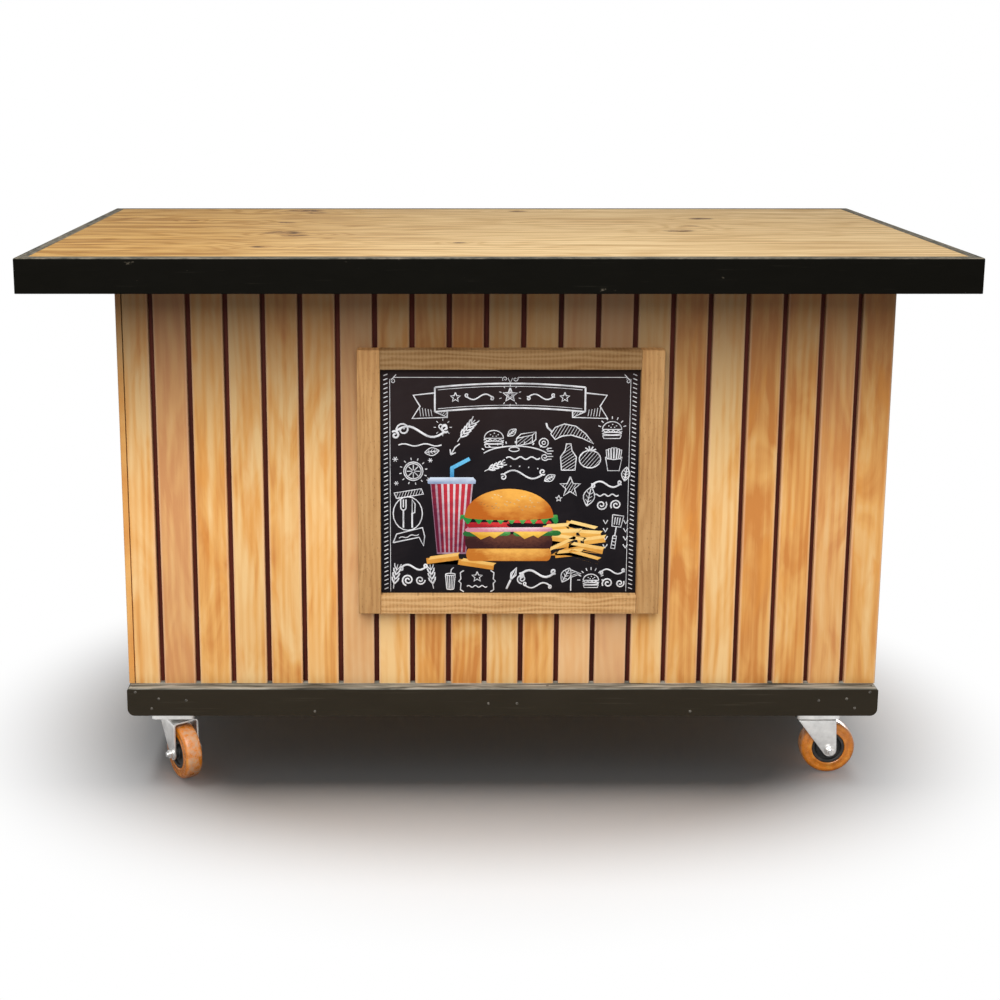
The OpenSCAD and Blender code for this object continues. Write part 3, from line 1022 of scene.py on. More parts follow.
def sprig(art, x, y, size, tilt, leaves=5, width=0.8):
    """A stem with filled leaves on both sides."""
    art.line(*moved([(0, 0), (size * 0.5, size * 0.04), (size, 0)], x, y, 1, tilt), width=width * 0.7)
    for i in range(leaves):
        foot = size * (0.2 + 0.75 * i / leaves)
        for side in (-1, 1):
            blade = [(foot, 0), (foot + size * 0.16, side * size * 0.11), (foot + size * 0.27, side * size * 0.13)]
            art.line(*moved(blade, x, y, 1, tilt), width=width * (1.5 if i < leaves - 1 else 1))


def spiral(art, x, y, radius, turns, tilt=0, width=1.0):
    steps = int(turns * 12)
    points = []
    for i in range(steps + 1):
        a = math.radians(tilt + 360 * turns * i / steps)
        reach = radius * (0.15 + 0.85 * i / steps)
        points.append((x + reach * math.cos(a), y + reach * math.sin(a)))
    art.line(*points, width=width)


def flourish(art, x, y, size, mirror=1, width=1.0):
    """A long S curve that ends in two curls."""
    body = [
        (size * (i / 14 - 0.5) * mirror, size * 0.11 * math.sin(2 * math.pi * i / 14)) for i in range(15)
    ]
    art.line(*moved(body, x, y), width=width)
    spiral(art, x - mirror * size * 0.5, y - size * 0.07, size * 0.09, 1.2, 60, width * 0.9)
    spiral(art, x + mirror * size * 0.5, y + size * 0.07, size * 0.09, 1.2, 240, width * 0.9)


def rays(art, x, y, inner, outer, count, start=0, end=360, width=0.9):
    for i in range(count):
        a = math.radians(start + (end - start) * i / max(count - (end - start < 360), 1))
        art.line(
            (x + inner * math.cos(a), y + inner * math.sin(a)),
            (x + outer * math.cos(a), y + outer * math.sin(a)),
            width=width,
        )


def hatched(art, points, spacing=5.0, tilt=55, width=0.4):
    """A closed outline filled with slanting strokes."""
    art.line(*points, points[0], width=1.0)
    turn = math.radians(tilt)
    across = (-math.sin(turn), math.cos(turn))
    along = (math.cos(turn), math.sin(turn))
    offsets = [u * across[0] + v * across[1] for u, v in points]
    level = min(offsets) + spacing * 0.7
    while level < max(offsets):
        cuts = []
        for (u0, v0), (u1, v1), d0, d1 in zip(
            points, points[1:] + points[:1], offsets, offsets[1:] + offsets[:1]
        ):
            if (d0 - level) * (d1 - level) < 0:
                t = (level - d0) / (d1 - d0)
                place = (u0 + (u1 - u0) * t, v0 + (v1 - v0) * t)
                cuts.append((place[0] * along[0] + place[1] * along[1], place))
        cuts.sort()
        for (_, start), (_, end) in zip(cuts[::2], cuts[1::2]):
            if math.dist(start, end) > 3:
                art.line(start, end, width=width)
        level += spacing


def small_burger(art, x, y, size, width=0.8):
    art.line(*oval(x, y + size * 0.12, size * 0.5, size * 0.42, 0, 180, 12), width=width)
    art.line((x - size * 0.5, y + size * 0.12), (x + size * 0.5, y + size * 0.12), width=width)
    art.line(*wave(x - size * 0.52, x + size * 0.52, y + size * 0.02, size * 0.045, 4), width=width)
    art.line(*oval(x, y - size * 0.10, size * 0.5, size * 0.07, 0, 360, 14), width=width)
    art.line(
        (x - size * 0.48, y - size * 0.2), (x - size * 0.42, y - size * 0.36),
        (x + size * 0.42, y - size * 0.36), (x + size * 0.48, y - size * 0.2), (x - size * 0.48, y - size * 0.2),
        width=width,
    )
    for u, v in ((-0.2, 0.3), (0.0, 0.38), (0.2, 0.3), (-0.08, 0.22), (0.1, 0.22)):
        art.line((x + u * size, y + v * size), (x + u * size + 1.6, y + v * size + 0.8), width=width)


def small_cup(art, x, y, size, width=0.8):
    art.line(*oval(x, y + size * 0.42, size * 0.30, size * 0.07), width=width)
    for side in (-1, 1):
        art.line((x + side * size * 0.29, y + size * 0.40), (x + side * size * 0.21, y - size * 0.48), width=width)
    art.line(*oval(x, y - size * 0.48, size * 0.21, size * 0.05, 180, 360, 8), width=width)
    for share in (-0.6, -0.2, 0.2, 0.6):
        art.line(
            (x + share * size * 0.29, y + size * 0.33), (x + share * size * 0.21, y - size * 0.48), width=width * 0.8
        )
    art.line(
        (x + size * 0.02, y + size * 0.44), (x + size * 0.05, y + size * 0.72),
        (x + size * 0.2, y + size * 0.86), width=width,
    )


def fries_box(art, x, y, size, width=0.8):
    box_top = [(-0.32, 0.05), (-0.2, -0.03), (0.0, -0.06), (0.2, -0.03), (0.32, 0.05)]
    outline = box_top + [(0.22, -0.5), (-0.22, -0.5), (-0.32, 0.05)]
    art.line(*moved(outline, x, y, size), width=width)
    for i, lean in enumerate((-14, -8, -2, 4, 10, 15)):
        foot = (i - 2.5) * 0.105
        stick = [(foot - 0.04, -0.02), (foot - 0.04, 0.42), (foot + 0.04, 0.42), (foot + 0.04, -0.02)]
        art.line(*moved(stick, x, y, size * (1 - 0.06 * abs(i - 2.5)), -lean * 0.5), width=width)


def spatula(art, x, y, size, tilt, width=0.8):
    blade = [(-0.16, 0.5), (0.16, 0.5), (0.13, 0.16), (-0.13, 0.16), (-0.16, 0.5)]
    art.line(*moved(blade, x, y, size, tilt), width=width)
    for u in (-0.07, 0.0, 0.07):
        art.line(*moved([(u, 0.22), (u, 0.44)], x, y, size, tilt), width=width)
    art.line(*moved([(0, 0.16), (0, -0.12)], x, y, size, tilt), width=width * 1.1)
    grip = [(-0.05, -0.12), (0.05, -0.12), (0.06, -0.5), (-0.06, -0.5), (-0.05, -0.12)]
    art.line(*moved(grip, x, y, size, tilt), width=width)
    for v in (-0.2, -0.3, -0.4):
        art.line(*moved([(-0.05, v), (0.05, v)], x, y, size, tilt), width=width * 0.8)


def fork_and_knife(art, x, y, size, width=0.8):
    art.line((x - size * 0.15, y - size * 0.5), (x - size * 0.15, y + size * 0.12), width=width * 1.3)
    for u in (-0.24, -0.15, -0.06):
        art.line((x + u * size, y + size * 0.5), (x + u * size, y + size * 0.22), width=width)
    art.line(*oval(x - size * 0.15, y + size * 0.22, size * 0.09, size * 0.1, 180, 360, 8), width=width)
    art.line((x + size * 0.15, y - size * 0.5), (x + size * 0.15, y + size * 0.02), width=width * 1.3)
    art.line(
        (x + size * 0.15, y), (x + size * 0.15, y + size * 0.5), (x + size * 0.25, y + size * 0.34),
        (x + size * 0.24, y + size * 0.04), (x + size * 0.15, y), width=width,
    )


def heart(art, x, y, size, width=0.9):
    points = []
    for i in range(19):
        t = 2 * math.pi * i / 18
        u = 16 * math.sin(t) ** 3
        v = 13 * math.cos(t) - 5 * math.cos(2 * t) - 2 * math.cos(3 * t) - math.cos(4 * t)
        points.append((x + u * size / 34, y + v * size / 34))
    art.line(*points, width=width)


def chalk_border():
    """Rope bands down both sides, fine lines at the top, and a small ornament in each corner."""
    art = Drawing()
    half_w, half_h = 218, 199
    for side in (-1, 1):
        for i in range(50):
            up = -half_h + 8 * i
            art.line((side * (half_w + 4), up), (side * (half_w - 3), up + 3), width=0.75)
        art.line((side * (half_w - 7), -half_h - 4), (side * (half_w - 7), half_h - 12), width=0.45)
        art.line((side * (half_w - 14), half_h - 9), (side * 14, half_h - 9), width=0.45)
        art.line((side * (half_w - 9), half_h - 14), (side * (half_w - 18), half_h - 4), width=0.6)
        spiral(art, side * (half_w - 12), half_h - 16, 5, 1.1, 90, 0.5)
        spiral(art, side * 9, half_h - 12, 5, 1.1, 90 - side * 90, 0.5)
    art.line((-4, half_h - 10), (0, half_h - 19), (4, half_h - 10), width=0.5)
    return art


def chalk_banner():
    """A blank ribbon with folded tails, shaded with hatching."""
    art = Drawing()
    top, low, half = 172, 128, 132

    def bow(u, v):
        return (u, v + 7 * (1 - (u / half) ** 2))

    steps = [i / 12 * 2 * half - half for i in range(13)]
    for level in (top, low):
        art.line(*[bow(u, level) for u in steps], width=1.5)
    for level in (top - 5, low + 5):
        art.line(*[bow(u * 0.96, level) for u in steps], width=0.5)
    for side in (-1, 1):
        art.line((side * half, top), (side * half, low), width=1.5)
        tail = [
            (side * half, low + 34), (side * (half + 38), low + 30), (side * (half + 26), low + 10),
            (side * (half + 40), low - 12), (side * (half - 22), low - 10), (side * (half - 22), low + 1),
        ]
        art.line(*tail, width=1.3)
        hatched(art, [(side * half, low), (side * (half - 22), low + 1), (side * (half - 22), low - 10)], 3.6)
        for i in range(5):
            u = side * (half + 5 + i * 5)
            art.line((u, low - 8), (u + side * 2, low + 4 + i), width=0.55)
        star(art, side * 96, 154, 9, 90, 0.9)
        flourish(art, side * 54, 155, 44, side, 1.1)
    star(art, 0, 158, 13, 90, 1.2)
    star(art, 0, 158, 6.5, 90, 0.8)
    rays(art, 0, 158, 16, 20, 10, 18, 378, 0.6)
    return art


def chalk_doodles():
    """Kitchen doodles that fill the board round the drawn food."""
    art = Drawing()
    # Upper left: a curled stroke with an underline, a heart with rays and a leafy arrow
    flourish(art, -158, 92, 88, 1, 1.9)
    art.line(*wave(-196, -120, 68, 2.2, 2), width=1.1)
    spiral(art, -188, 96, 13, 1.6, 20, 1.5)
    heart(art, -118, 100, 15, 1.1)
    rays(art, -118, 100, 12, 16, 8, 0, 360, 0.6)
    sprig(art, -92, 74, 50, 52, 5, 0.9)
    art.line((-104, 50), (-96, 64), (-88, 70), width=1.0)
    art.line((-104, 50), (-105, 60), width=1.0)
    art.line((-104, 50), (-95, 54), width=1.0)
    leaf(art, -150, 54, 26, 8)
    # Left: an orange slice with sparks, then a fork and knife in an oval and a flag
    for radius in (17, 14):
        art.ring(-170, 20, radius, width=0.9)
    rays(art, -170, 20, 2, 12, 8, 0, 360, 0.8)
    rays(art, -170, 20, 21, 25, 12, 10, 370, 0.8)
    for x, y, size in ((-202, 42, 5), (-140, 40, 4), (-200, -2, 4), (-142, 4, 5)):
        rays(art, x, y, 0, size, 6, 0, 360, 0.6)
    hatched(art, [(-200, -30), (-152, -22), (-156, -12), (-204, -20)], 4.5, 70)
    fork_and_knife(art, -180, -58, 52, 1.1)
    art.line(*oval(-180, -58, 26, 31, 0, 360, 20), width=0.9)
    ribbon = [(-206, -112), (-160, -102), (-152, -118), (-150, -100), (-154, -84), (-200, -96), (-206, -112)]
    art.line(*ribbon, width=1.1)
    art.line(*moved(wave(-18, 18, 0, 1.6, 2), -178, -100, 1, 12), width=0.8)
    # Upper middle: burger, cheese, tomato, olive and a leaf
    small_burger(art, -28, 76, 34)
    hatched(art, [(12, 66), (40, 72), (40, 86), (12, 80)], 4.8, 40)
    art.line((12, 80), (20, 88), (46, 92), (40, 86), width=0.9)
    art.line((46, 92), (46, 78), (40, 72), width=0.9)
    leaf(art, -4, 84, 20, 40)
    art.ring(60, 72, 8, width=0.9)
    art.ring(60, 72, 3, width=0.8)
    art.ring(8, 60, 9, 4, width=0.9)
    art.line(*oval(10, 40, 64, 26, 30, 150, 16), width=1.1)
    for i in range(9):
        a = math.radians(38 + i * 13)
        art.line((10 + 70 * math.cos(a), 40 + 31 * math.sin(a)), (10 + 75 * math.cos(a), 40 + 35 * math.sin(a)), width=1.0)
    art.line(*wave(-6, 54, 44, 2.4, 3), width=1.2)
    spiral(art, 62, 46, 7, 1.4, 180, 0.9)
    flourish(art, 24, 14, 70, 1, 1.4)
    sprig(art, -44, 20, 40, 24, 4, 0.9)
    leaf(art, 62, 2, 22, 30, 0.8)
    star(art, 88, -30, 6, 90, 0.8)
    for i in range(6):
        rays(art, -30 + i * 16, 30 - abs(i - 2.5) * 2, 0, 1.2, 3, 0, 360, 0.8)
    # Upper right: a hatched chilli, a hatched bottle, a small burger and a box of fries
    pepper = [
        (72, 88), (80, 100), (96, 106), (116, 102), (134, 88), (148, 70),
        (128, 80), (108, 86), (92, 84), (80, 78), (72, 88),
    ]
    hatched(art, pepper[:-1], 5.1, 60)
    art.line((74, 92), (66, 100), (64, 108), width=1.6)
    bottle = [
        (92, 22), (116, 22), (118, 46), (110, 58), (108, 70), (100, 70), (98, 58), (90, 46),
    ]
    hatched(art, bottle, 4.8, 35)
    tomato = oval(142, 42, 19, 16, 0, 345, 16)
    hatched(art, tomato, 5.1, 50)
    for a in (20, 60, 100, 140):
        art.line((142, 57), (142 + 11 * math.cos(math.radians(a)), 57 + 9 * math.sin(math.radians(a))), width=1.1)
    small_burger(art, 180, 92, 34)
    rays(art, 180, 94, 21, 26, 7, 20, 160, 0.8)
    fries_box(art, 184, 44, 46)
    for i in range(5):
        art.line((66, 62 - 5 * i), (66 + 8 + (i % 2) * 3, 62 - 5 * i), width=0.8)
    # Right: a big star, leaves, curls, two columns of chevrons and the spatula
    hatched(art, moved([(0, 14), (4, 4), (14, 4), (6, -3), (9, -13), (0, -7), (-9, -13), (-6, -3), (-14, 4), (-4, 4)], 108, -8, 1.3), 4.5, 60)
    leaf(art, 138, -44, 36, 78, 0.9)
    leaf(art, 204, 2, 26, 82, 0.9)
    flourish(art, 172, -4, 48, 1, 1.5)
    art.line(*wave(150, 194, -24, 2.0, 3), width=1.1)
    spiral(art, 190, -42, 10, 1.6, 0, 1.2)
    spiral(art, 164, -42, 10, 1.6, 180, 1.2)
    spatula(art, 190, -92, 62, -8, 0.9)
    for side, x in ((-1, 172), (1, 208)):
        for i in range(4):
            foot = (x, -122 + i * 15)
            art.line((foot[0] - 4, foot[1] + 7), foot, (foot[0] + 4, foot[1] + 7), width=1.0)
    # Along the bottom: sprigs, curls, a small cup, brackets, a whisk and a pennant
    sprig(art, -206, -198, 46, 80, 4, 0.9)
    sprig(art, -134, -198, 46, 98, 4, 0.9)
    flourish(art, -170, -158, 44, 1, 1.6)
    spiral(art, -180, -182, 11, 1.7, 0, 1.4)
    spiral(art, -158, -182, 9, 1.5, 180, 1.2)
    small_cup(art, -104, -184, 30)
    for side in (-1, 1):
        art.line(*moved([(6, 20), (0, 16), (1, 4), (-3, 0), (1, -4), (0, -16), (6, -20)], -56 + side * 30, -184, side * -1), width=1.0)
    star(art, -56, -176, 10, 90, 0.9)
    art.line(*wave(-74, -38, -194, 1.8, 3), width=0.9)
    whisk = [(0, 0), (5, 12), (0, 26), (-5, 12), (0, 0)]
    for squeeze in (1.0, 0.45):
        art.line(*moved([(u * squeeze, v) for u, v in whisk], 4, -182, 1, -24), width=0.9)
    art.line(*moved([(0, 0), (0, -18)], 4, -182, 1, -24), width=1.8)
    flourish(art, 52, -170, 58, 1, 1.9)
    flourish(art, 52, -192, 44, -1, 1.3)
    spiral(art, 24, -180, 9, 1.5, 90, 1.2)
    leaf(art, 96, -186, 30, 62, 0.8)
    art.line((112, -202), (112, -162), width=1.0)
    hatched(art, [(112, -163), (130, -170), (112, -177)], 4.2, 20)
    small_burger(art, 148, -186, 28)
    rays(art, 148, -182, 19, 24, 9, 0, 180, 0.8)
    flourish(art, 186, -166, 40, 1, 1.3)
    spiral(art, 178, -188, 10, 1.5, 30, 1.3)
    spiral(art, 200, -188, 8, 1.5, 210, 1.2)
    return art


def board_middle():
    """The chalkboard's middle across the cart."""
    return (BOARD_LOW[0] + BOARD_HIGH[0]) / 2


def in_board(up):
    """A height in the cart's frame, from millimetres above the board's middle."""
    return (BOARD_LOW[2] + BOARD_HIGH[2]) / 2 + up * MM


def drawn_cup():
    """A lidded paper cup with red and white stripes and a bent straw: (colour, layer, drawing) parts."""
    x, top, low = -102, 0, -133
    top_half, low_half = 38, 26
    shell, stripes, lid, straw = Drawing(), Drawing(), Drawing(), Drawing()
    shell.fill([(x - top_half, top), (x - low_half, low), (x + low_half, low), (x + top_half, top)])
    count = 7
    for i in range(count):
        left, right = -1 + (2 * i + 0.25) / count, -1 + (2 * i + 1.5) / count
        stripes.fill([
            (x + left * top_half, top - 1), (x + left * low_half, low + 3),
            (x + right * low_half, low + 3), (x + right * top_half, top - 1),
        ])
    lid.fill([
        (x - 42, top - 3), (x - 43, top + 3), (x - 38, top + 9), (x + 38, top + 9), (x + 43, top + 3), (x + 42, top - 3),
    ])
    straw.fill([(x - 3, top + 9), (x - 3, top + 28), (x + 30, top + 46), (x + 33, top + 40), (x + 4, top + 24), (x + 4, top + 9)])
    ends, round_cup = (in_board(low), in_board(top)), (board_middle() + x * MM, top_half * MM)
    white = drawn_finish("Drawn cup white", (0.70, 0.60, 0.62), (0.26, 0.13, 0.19), *ends, 30, *round_cup)
    red = drawn_finish("Drawn cup red", (0.52, 0.030, 0.045), (0.11, 0.008, 0.028), *ends, 30, *round_cup)
    pale = drawn_finish("Drawn lid", (0.58, 0.66, 0.78), (0.20, 0.27, 0.42), in_board(top - 3), in_board(top + 9))
    blue = drawn_finish("Drawn straw", (0.14, 0.50, 0.78), (0.01, 0.13, 0.33), in_board(top), in_board(top + 44), 300)
    return [(white, 0.15, shell), (red, 0.28, stripes), (pale, 0.34, lid), (blue, 0.22, straw)]


def drawn_burger():
    """A sesame bun with its filling: (colour, layer, drawing) parts."""
    parts = []

    def part(name, light, dark, low, high, layer, outlines, scale=60):
        art = Drawing()
        for outline in outlines:
            art.fill(outline)
        heights = (in_board(low), in_board(high))
        parts.append((drawn_finish(name, light, dark, *heights, scale, board_middle(), 80 * MM), layer, art))

    def slab(low, high, half, sag=0.0):
        return (
            oval(half - 8, (low + high) / 2, 8, (high - low) / 2, -90, 90, 8)
            + oval(-half + 8, (low + high) / 2 - sag, 8, (high - low) / 2, 90, 270, 8)
        )

    part("Drawn bun base", (0.84, 0.44, 0.095), (0.50, 0.16, 0.02), -148, -122, 0.40, [slab(-146, -121, 76)])
    part("Drawn patty", (0.13, 0.045, 0.028), (0.035, 0.010, 0.010), -124, -98, 0.46, [slab(-123, -96, 78)], 160)
    cucumber = [slab(-100 + i % 2, -90 + i % 2, 20) for i in range(4)]
    cucumber = [[(u + 45 * i - 62, v) for u, v in outline] for i, outline in enumerate(cucumber)]
    part("Drawn cucumber", (0.12, 0.42, 0.10), (0.02, 0.13, 0.03), -100, -89, 0.52, cucumber, 200)
    part("Drawn onion", (0.85, 0.62, 0.66), (0.60, 0.22, 0.30), -92, -82, 0.58, [slab(-91, -83, 78, 1)], 200)
    part(
        "Drawn tomato", (0.72, 0.05, 0.045), (0.36, 0.012, 0.02), -86, -72, 0.64,
        [[(u - 36, v) for u, v in slab(-85, -74, 38)], [(u + 36, v + 1) for u, v in slab(-84, -71, 40)]], 120,
    )
    cheese = [(-70, -92), (-8, -92), (-26, -104), (-34, -99), (-50, -106), (-60, -98)]
    part("Drawn cheese", (0.90, 0.56, 0.10), (0.62, 0.30, 0.03), -106, -92, 0.70, [cheese, [(u + 78, v + 1) for u, v in cheese]])
    frill = wave(-88, 88, -72, 5.5, 9) + [(86, -60), (-86, -60)]
    part("Drawn lettuce", (0.25, 0.60, 0.14), (0.02, 0.22, 0.045), -76, -60, 0.76, [frill], 220)
    crown = oval(0, -64, 79, 52, 0, 180, 24) + oval(0, -64, 79, 6, 180, 360, 12)
    part("Drawn bun top", (0.86, 0.42, 0.075), (0.46, 0.115, 0.012), -72, -20, 0.82, [crown], 26)
    dice = random.Random(5)
    seeds = []
    for _ in range(34):
        a, reach = dice.uniform(25, 155), dice.uniform(0.35, 0.88)
        u, v = 70 * reach * math.cos(math.radians(a)), -58 + 44 * reach * math.sin(math.radians(a))
        seeds.append(oval(u, v, 2.1, 1.1, 0, 330, 8, dice.uniform(-40, 40)))
    part("Drawn sesame", (0.90, 0.66, 0.30), (0.40, 0.15, 0.03), -60, -10, 0.88, seeds, 160)
    return parts


def drawn_fries():
    """Loose fries beside and before the burger: (colour, layer, drawing) parts."""
    sticks = (
        (84, -84, 46, 4), (128, -82, 54, -14), (98, -94, 60, 2), (142, -96, 44, -4), (104, -106, 62, -8),
        (150, -108, 44, 8), (96, -118, 56, 26), (138, -122, 62, -10), (108, -132, 50, 6), (132, -138, 60, -16),
        (-118, -142, 58, 8), (-58, -152, 64, -9),
    )
    faces, tops = Drawing(), Drawing()
    for x, y, size, tilt in sticks:
        half = size / 2
        faces.fill(moved([(-half, -6), (half, -6), (half, 5), (-half, 5)], x, y, 1, tilt))
        tops.fill(moved([(-half + 3, 1.5), (half - 2, 1.5), (half + 3, 7.5), (-half + 8, 7.5)], x, y, 1, tilt))
    light = drawn_finish("Drawn fries", (0.80, 0.42, 0.085), (0.56, 0.22, 0.03), in_board(-160), in_board(-75), 50)
    pale = drawn_finish("Drawn fries top", (0.90, 0.62, 0.23), (0.76, 0.40, 0.085), in_board(-160), in_board(-75), 50)
    return [(light, 0.14, faces), (pale, 0.24, tops)]





class CART_OT_chalk(bpy.types.Operator):
    """Draw the chalk lines and the coloured food on the board"""

    bl_idname = "cart.chalk"
    bl_label = "Chalk drawing"

    def execute(self, context):
        white = chalk_finish()
        for name, art in (
            ("chalk_border", chalk_border()), ("chalk_banner", chalk_banner()), ("chalk_doodles", chalk_doodles())
        ):
            dress(art.piece(name, 0.05), "root", "chalkboard", white)
        for name, parts in (("drawn_cup", drawn_cup()), ("drawn_burger", drawn_burger()), ("drawn_fries", drawn_fries())):
            made = []
            for material, layer, art in parts:
                made.append(art.piece(name, layer))
                made[-1].data.materials.append(material)
            dress(joined(name, made), "root", "chalkboard")
        return {"FINISHED"}


# ---- Castors ---------------------------------------------------------------------------

AXLE_HEIGHT = 50 * MM
PLATE_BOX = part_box("front_right_plate")
PLATE_TOP = PLATE_BOX[1][2]
SHEET = 3 * MM
LEG_OUTER = 24 * MM
WEB_TOP = 110 * MM
LEG_END = 12.5 * MM
TRAIL = math.dist(JOINTS["front_left_swivel"]["pos_m"][:2], JOINTS["front_left_roll"]["pos_m"][:2])


def plate_model():
    """Top plate with rounded corners, four bolts, the upper bearing cap and the kingpin's nut."""
    half_w = (PLATE_BOX[1][0] - PLATE_BOX[0][0]) / 2
    half_d = (PLATE_BOX[1][1] - PLATE_BOX[0][1]) / 2
    plate = block("plate", (-half_w, -half_d, PLATE_TOP - SHEET), (half_w, half_d, PLATE_TOP))
    work_on(plate)
    bpy.ops.object.mode_set(mode="EDIT")
    bpy.ops.mesh.select_all(action="DESELECT")
    bpy.ops.object.mode_set(mode="OBJECT")
    for edge in plate.data.edges:
        a, b = (plate.data.vertices[i].co for i in edge.vertices)
        edge.select = abs(a.z - b.z) > SHEET / 2
    bpy.ops.object.mode_set(mode="EDIT")
    bpy.ops.mesh.select_mode(type="EDGE")
    bpy.ops.mesh.bevel(offset=8 * MM, segments=5, affect="EDGES")
    bpy.ops.mesh.select_mode(type="VERT")
    bpy.ops.object.mode_set(mode="OBJECT")
    rounded(plate, 0.4 * MM)
    under = PLATE_TOP - SHEET
    cap = turned("cap", [
        (0, under + 0.2 * MM), (29 * MM, under + 0.2 * MM), (31 * MM, under - 1.2 * MM), (31 * MM, under - 3.4 * MM),
        (29.6 * MM, under - 4.8 * MM), (22 * MM, under - 5.0 * MM), (0, under - 5.0 * MM),
    ], 48, closed=False)
    parts = [plate, cap]
    down = Matrix.Rotation(math.pi, 4, "X")
    for x in (-1, 1):
        for y in (-1, 1):
            place = (x * (half_w - 9 * MM), y * (half_d - 9 * MM), under)
            parts.append(washer("washer", 8.5 * MM, 1.2 * MM, Matrix.Translation(place) @ down))
            head_place = Matrix.Translation((place[0], place[1], under - 1.2 * MM)) @ down
            parts.append(hexagon_head("head", sizes().bolt_radius, 4.2 * MM, head_place))
    kingpin = Matrix.Translation((0, 0, WEB_TOP - SHEET - 0.4 * MM)) @ down
    parts.append(hexagon_head("kingpin", 8 * MM, 2.6 * MM, kingpin))
    return joined("plate", parts)


def leg_edges(z):
    """Rear and front edges of a fork leg at height z, both straight down to a round end."""
    edges = []
    for side, corner in ((-1, (-32 * MM, WEB_TOP)), (1, (TRAIL + 10 * MM, WEB_TOP))):
        du, dv = corner[0] - TRAIL, corner[1] - AXLE_HEIGHT
        far = math.hypot(du, dv)
        angle = math.atan2(dv, du) - side * math.acos(LEG_END / far)
        touch = (TRAIL + LEG_END * math.cos(angle), AXLE_HEIGHT + LEG_END * math.sin(angle))
        if z >= touch[1]:
            share = (z - touch[1]) / (corner[1] - touch[1])
            edges.append(touch[0] + (corner[0] - touch[0]) * share)
        else:
            rise = min(max(z - AXLE_HEIGHT, -LEG_END), LEG_END)
            edges.append(TRAIL + side * math.sqrt(LEG_END ** 2 - rise ** 2))
    return edges


def fork_model():
    """Pressed fork: one bent sheet over the wheel, the lower bearing race and its rolled rim."""
    bend = 6 * MM
    path = [(-LEG_OUTER, AXLE_HEIGHT - LEG_END * math.cos(math.radians(a))) for a in range(0, 91, 10)]
    path += [(-LEG_OUTER, AXLE_HEIGHT + (WEB_TOP - bend - AXLE_HEIGHT) * i / 6) for i in range(1, 6)]
    path += arc((-LEG_OUTER + bend, WEB_TOP - bend), bend, 180, 90, 6)
    path += [(-LEG_OUTER + bend + (LEG_OUTER - bend) * i / 3, WEB_TOP) for i in range(1, 4)]
    path += [(-u, v) for u, v in reversed(path[:-1])]
    columns = 13
    sheet = add("fork", "grid", x_subdivisions=columns - 1, y_subdivisions=len(path) - 1, size=2)
    for vertex in sheet.data.vertices:
        column = round((vertex.co.x + 1) / 2 * (columns - 1))
        row = round((vertex.co.y + 1) / 2 * (len(path) - 1))
        side, height = path[row]
        rear, front = leg_edges(height)
        vertex.co = (rear + (front - rear) * column / (columns - 1), side, height)
    tidy_mesh(sheet, 0.02 * MM)
    if max(sheet.data.polygons, key=lambda face: face.center.z).normal.z < 0:
        sheet.data.flip_normals()
    modify(sheet, "SOLIDIFY", thickness=SHEET, offset=-1, use_even_offset=True)
    rounded(sheet, 0.7 * MM, 2, 35)
    top = PLATE_TOP - SHEET - 5 * MM - 0.5 * MM
    race = turned("race", [
        (0, WEB_TOP - 0.5 * MM), (25 * MM, WEB_TOP - 0.5 * MM), (27.5 * MM, WEB_TOP + 1.6 * MM),
        (27.5 * MM, top - 3.0 * MM), (26 * MM, top - 1.2 * MM), (22 * MM, top), (0, top),
    ], 48, closed=False)
    return joined("fork", [sheet, race])


def to_axle():
    """Turns a piece made about the Z axis so that it lies along the axle, its top facing -Y."""
    return Matrix.Translation((TRAIL, 0, AXLE_HEIGHT)) @ Matrix.Rotation(math.pi / 2, 4, "X")


def axle_model():
    """Axle bolt with a head, a nut on its threaded end, and washers."""
    half, washer_t, nut_h = LEG_OUTER, 1.5 * MM, 6 * MM
    end = half + washer_t + nut_h + 4 * MM
    thread = [(0, -half - 2 * MM), (5 * MM, -half - 2 * MM), (5 * MM, half + washer_t)]
    level = half + washer_t
    while level + 1.5 * MM < end:
        thread += [(5 * MM, level + 0.2 * MM), (4.4 * MM, level + 0.75 * MM), (5 * MM, level + 1.3 * MM)]
        level += 1.5 * MM
    thread += [(4.4 * MM, end), (0, end)]
    parts = [turned("axle", thread, 24, closed=False)]
    flip = Matrix.Rotation(math.pi, 4, "X")
    for side in (Matrix.Identity(4), flip):
        parts.append(washer("washer", 10 * MM, washer_t, side @ Matrix.Translation((0, 0, half))))
        nut_place = side @ Matrix.Translation((0, 0, half + washer_t))
        parts.append(hexagon_head("nut", 8.7 * MM, nut_h, nut_place))
    return joined("axle", parts)


def hub_model():
    """Moulded hub with a bearing boss, stepped rings and a rim, the same on both faces."""
    face = [
        (5.3, 20.0), (9.4, 20.0), (10.2, 19.2), (10.2, 15.5), (12.6, 15.5), (13.4, 14.7), (13.4, 10.5),
        (15.6, 9.4), (20.2, 9.4), (21.0, 10.4), (21.8, 10.4), (22.6, 9.4), (23.6, 10.2), (24.4, 14.2),
        (25.4, 15.0), (28.6, 15.0), (29.5, 14.2),
    ]
    profile = [(r * MM, h * MM) for r, h in face] + [(r * MM, -h * MM) for r, h in reversed(face)]
    return turned("hub", profile, sizes().wheel_steps)


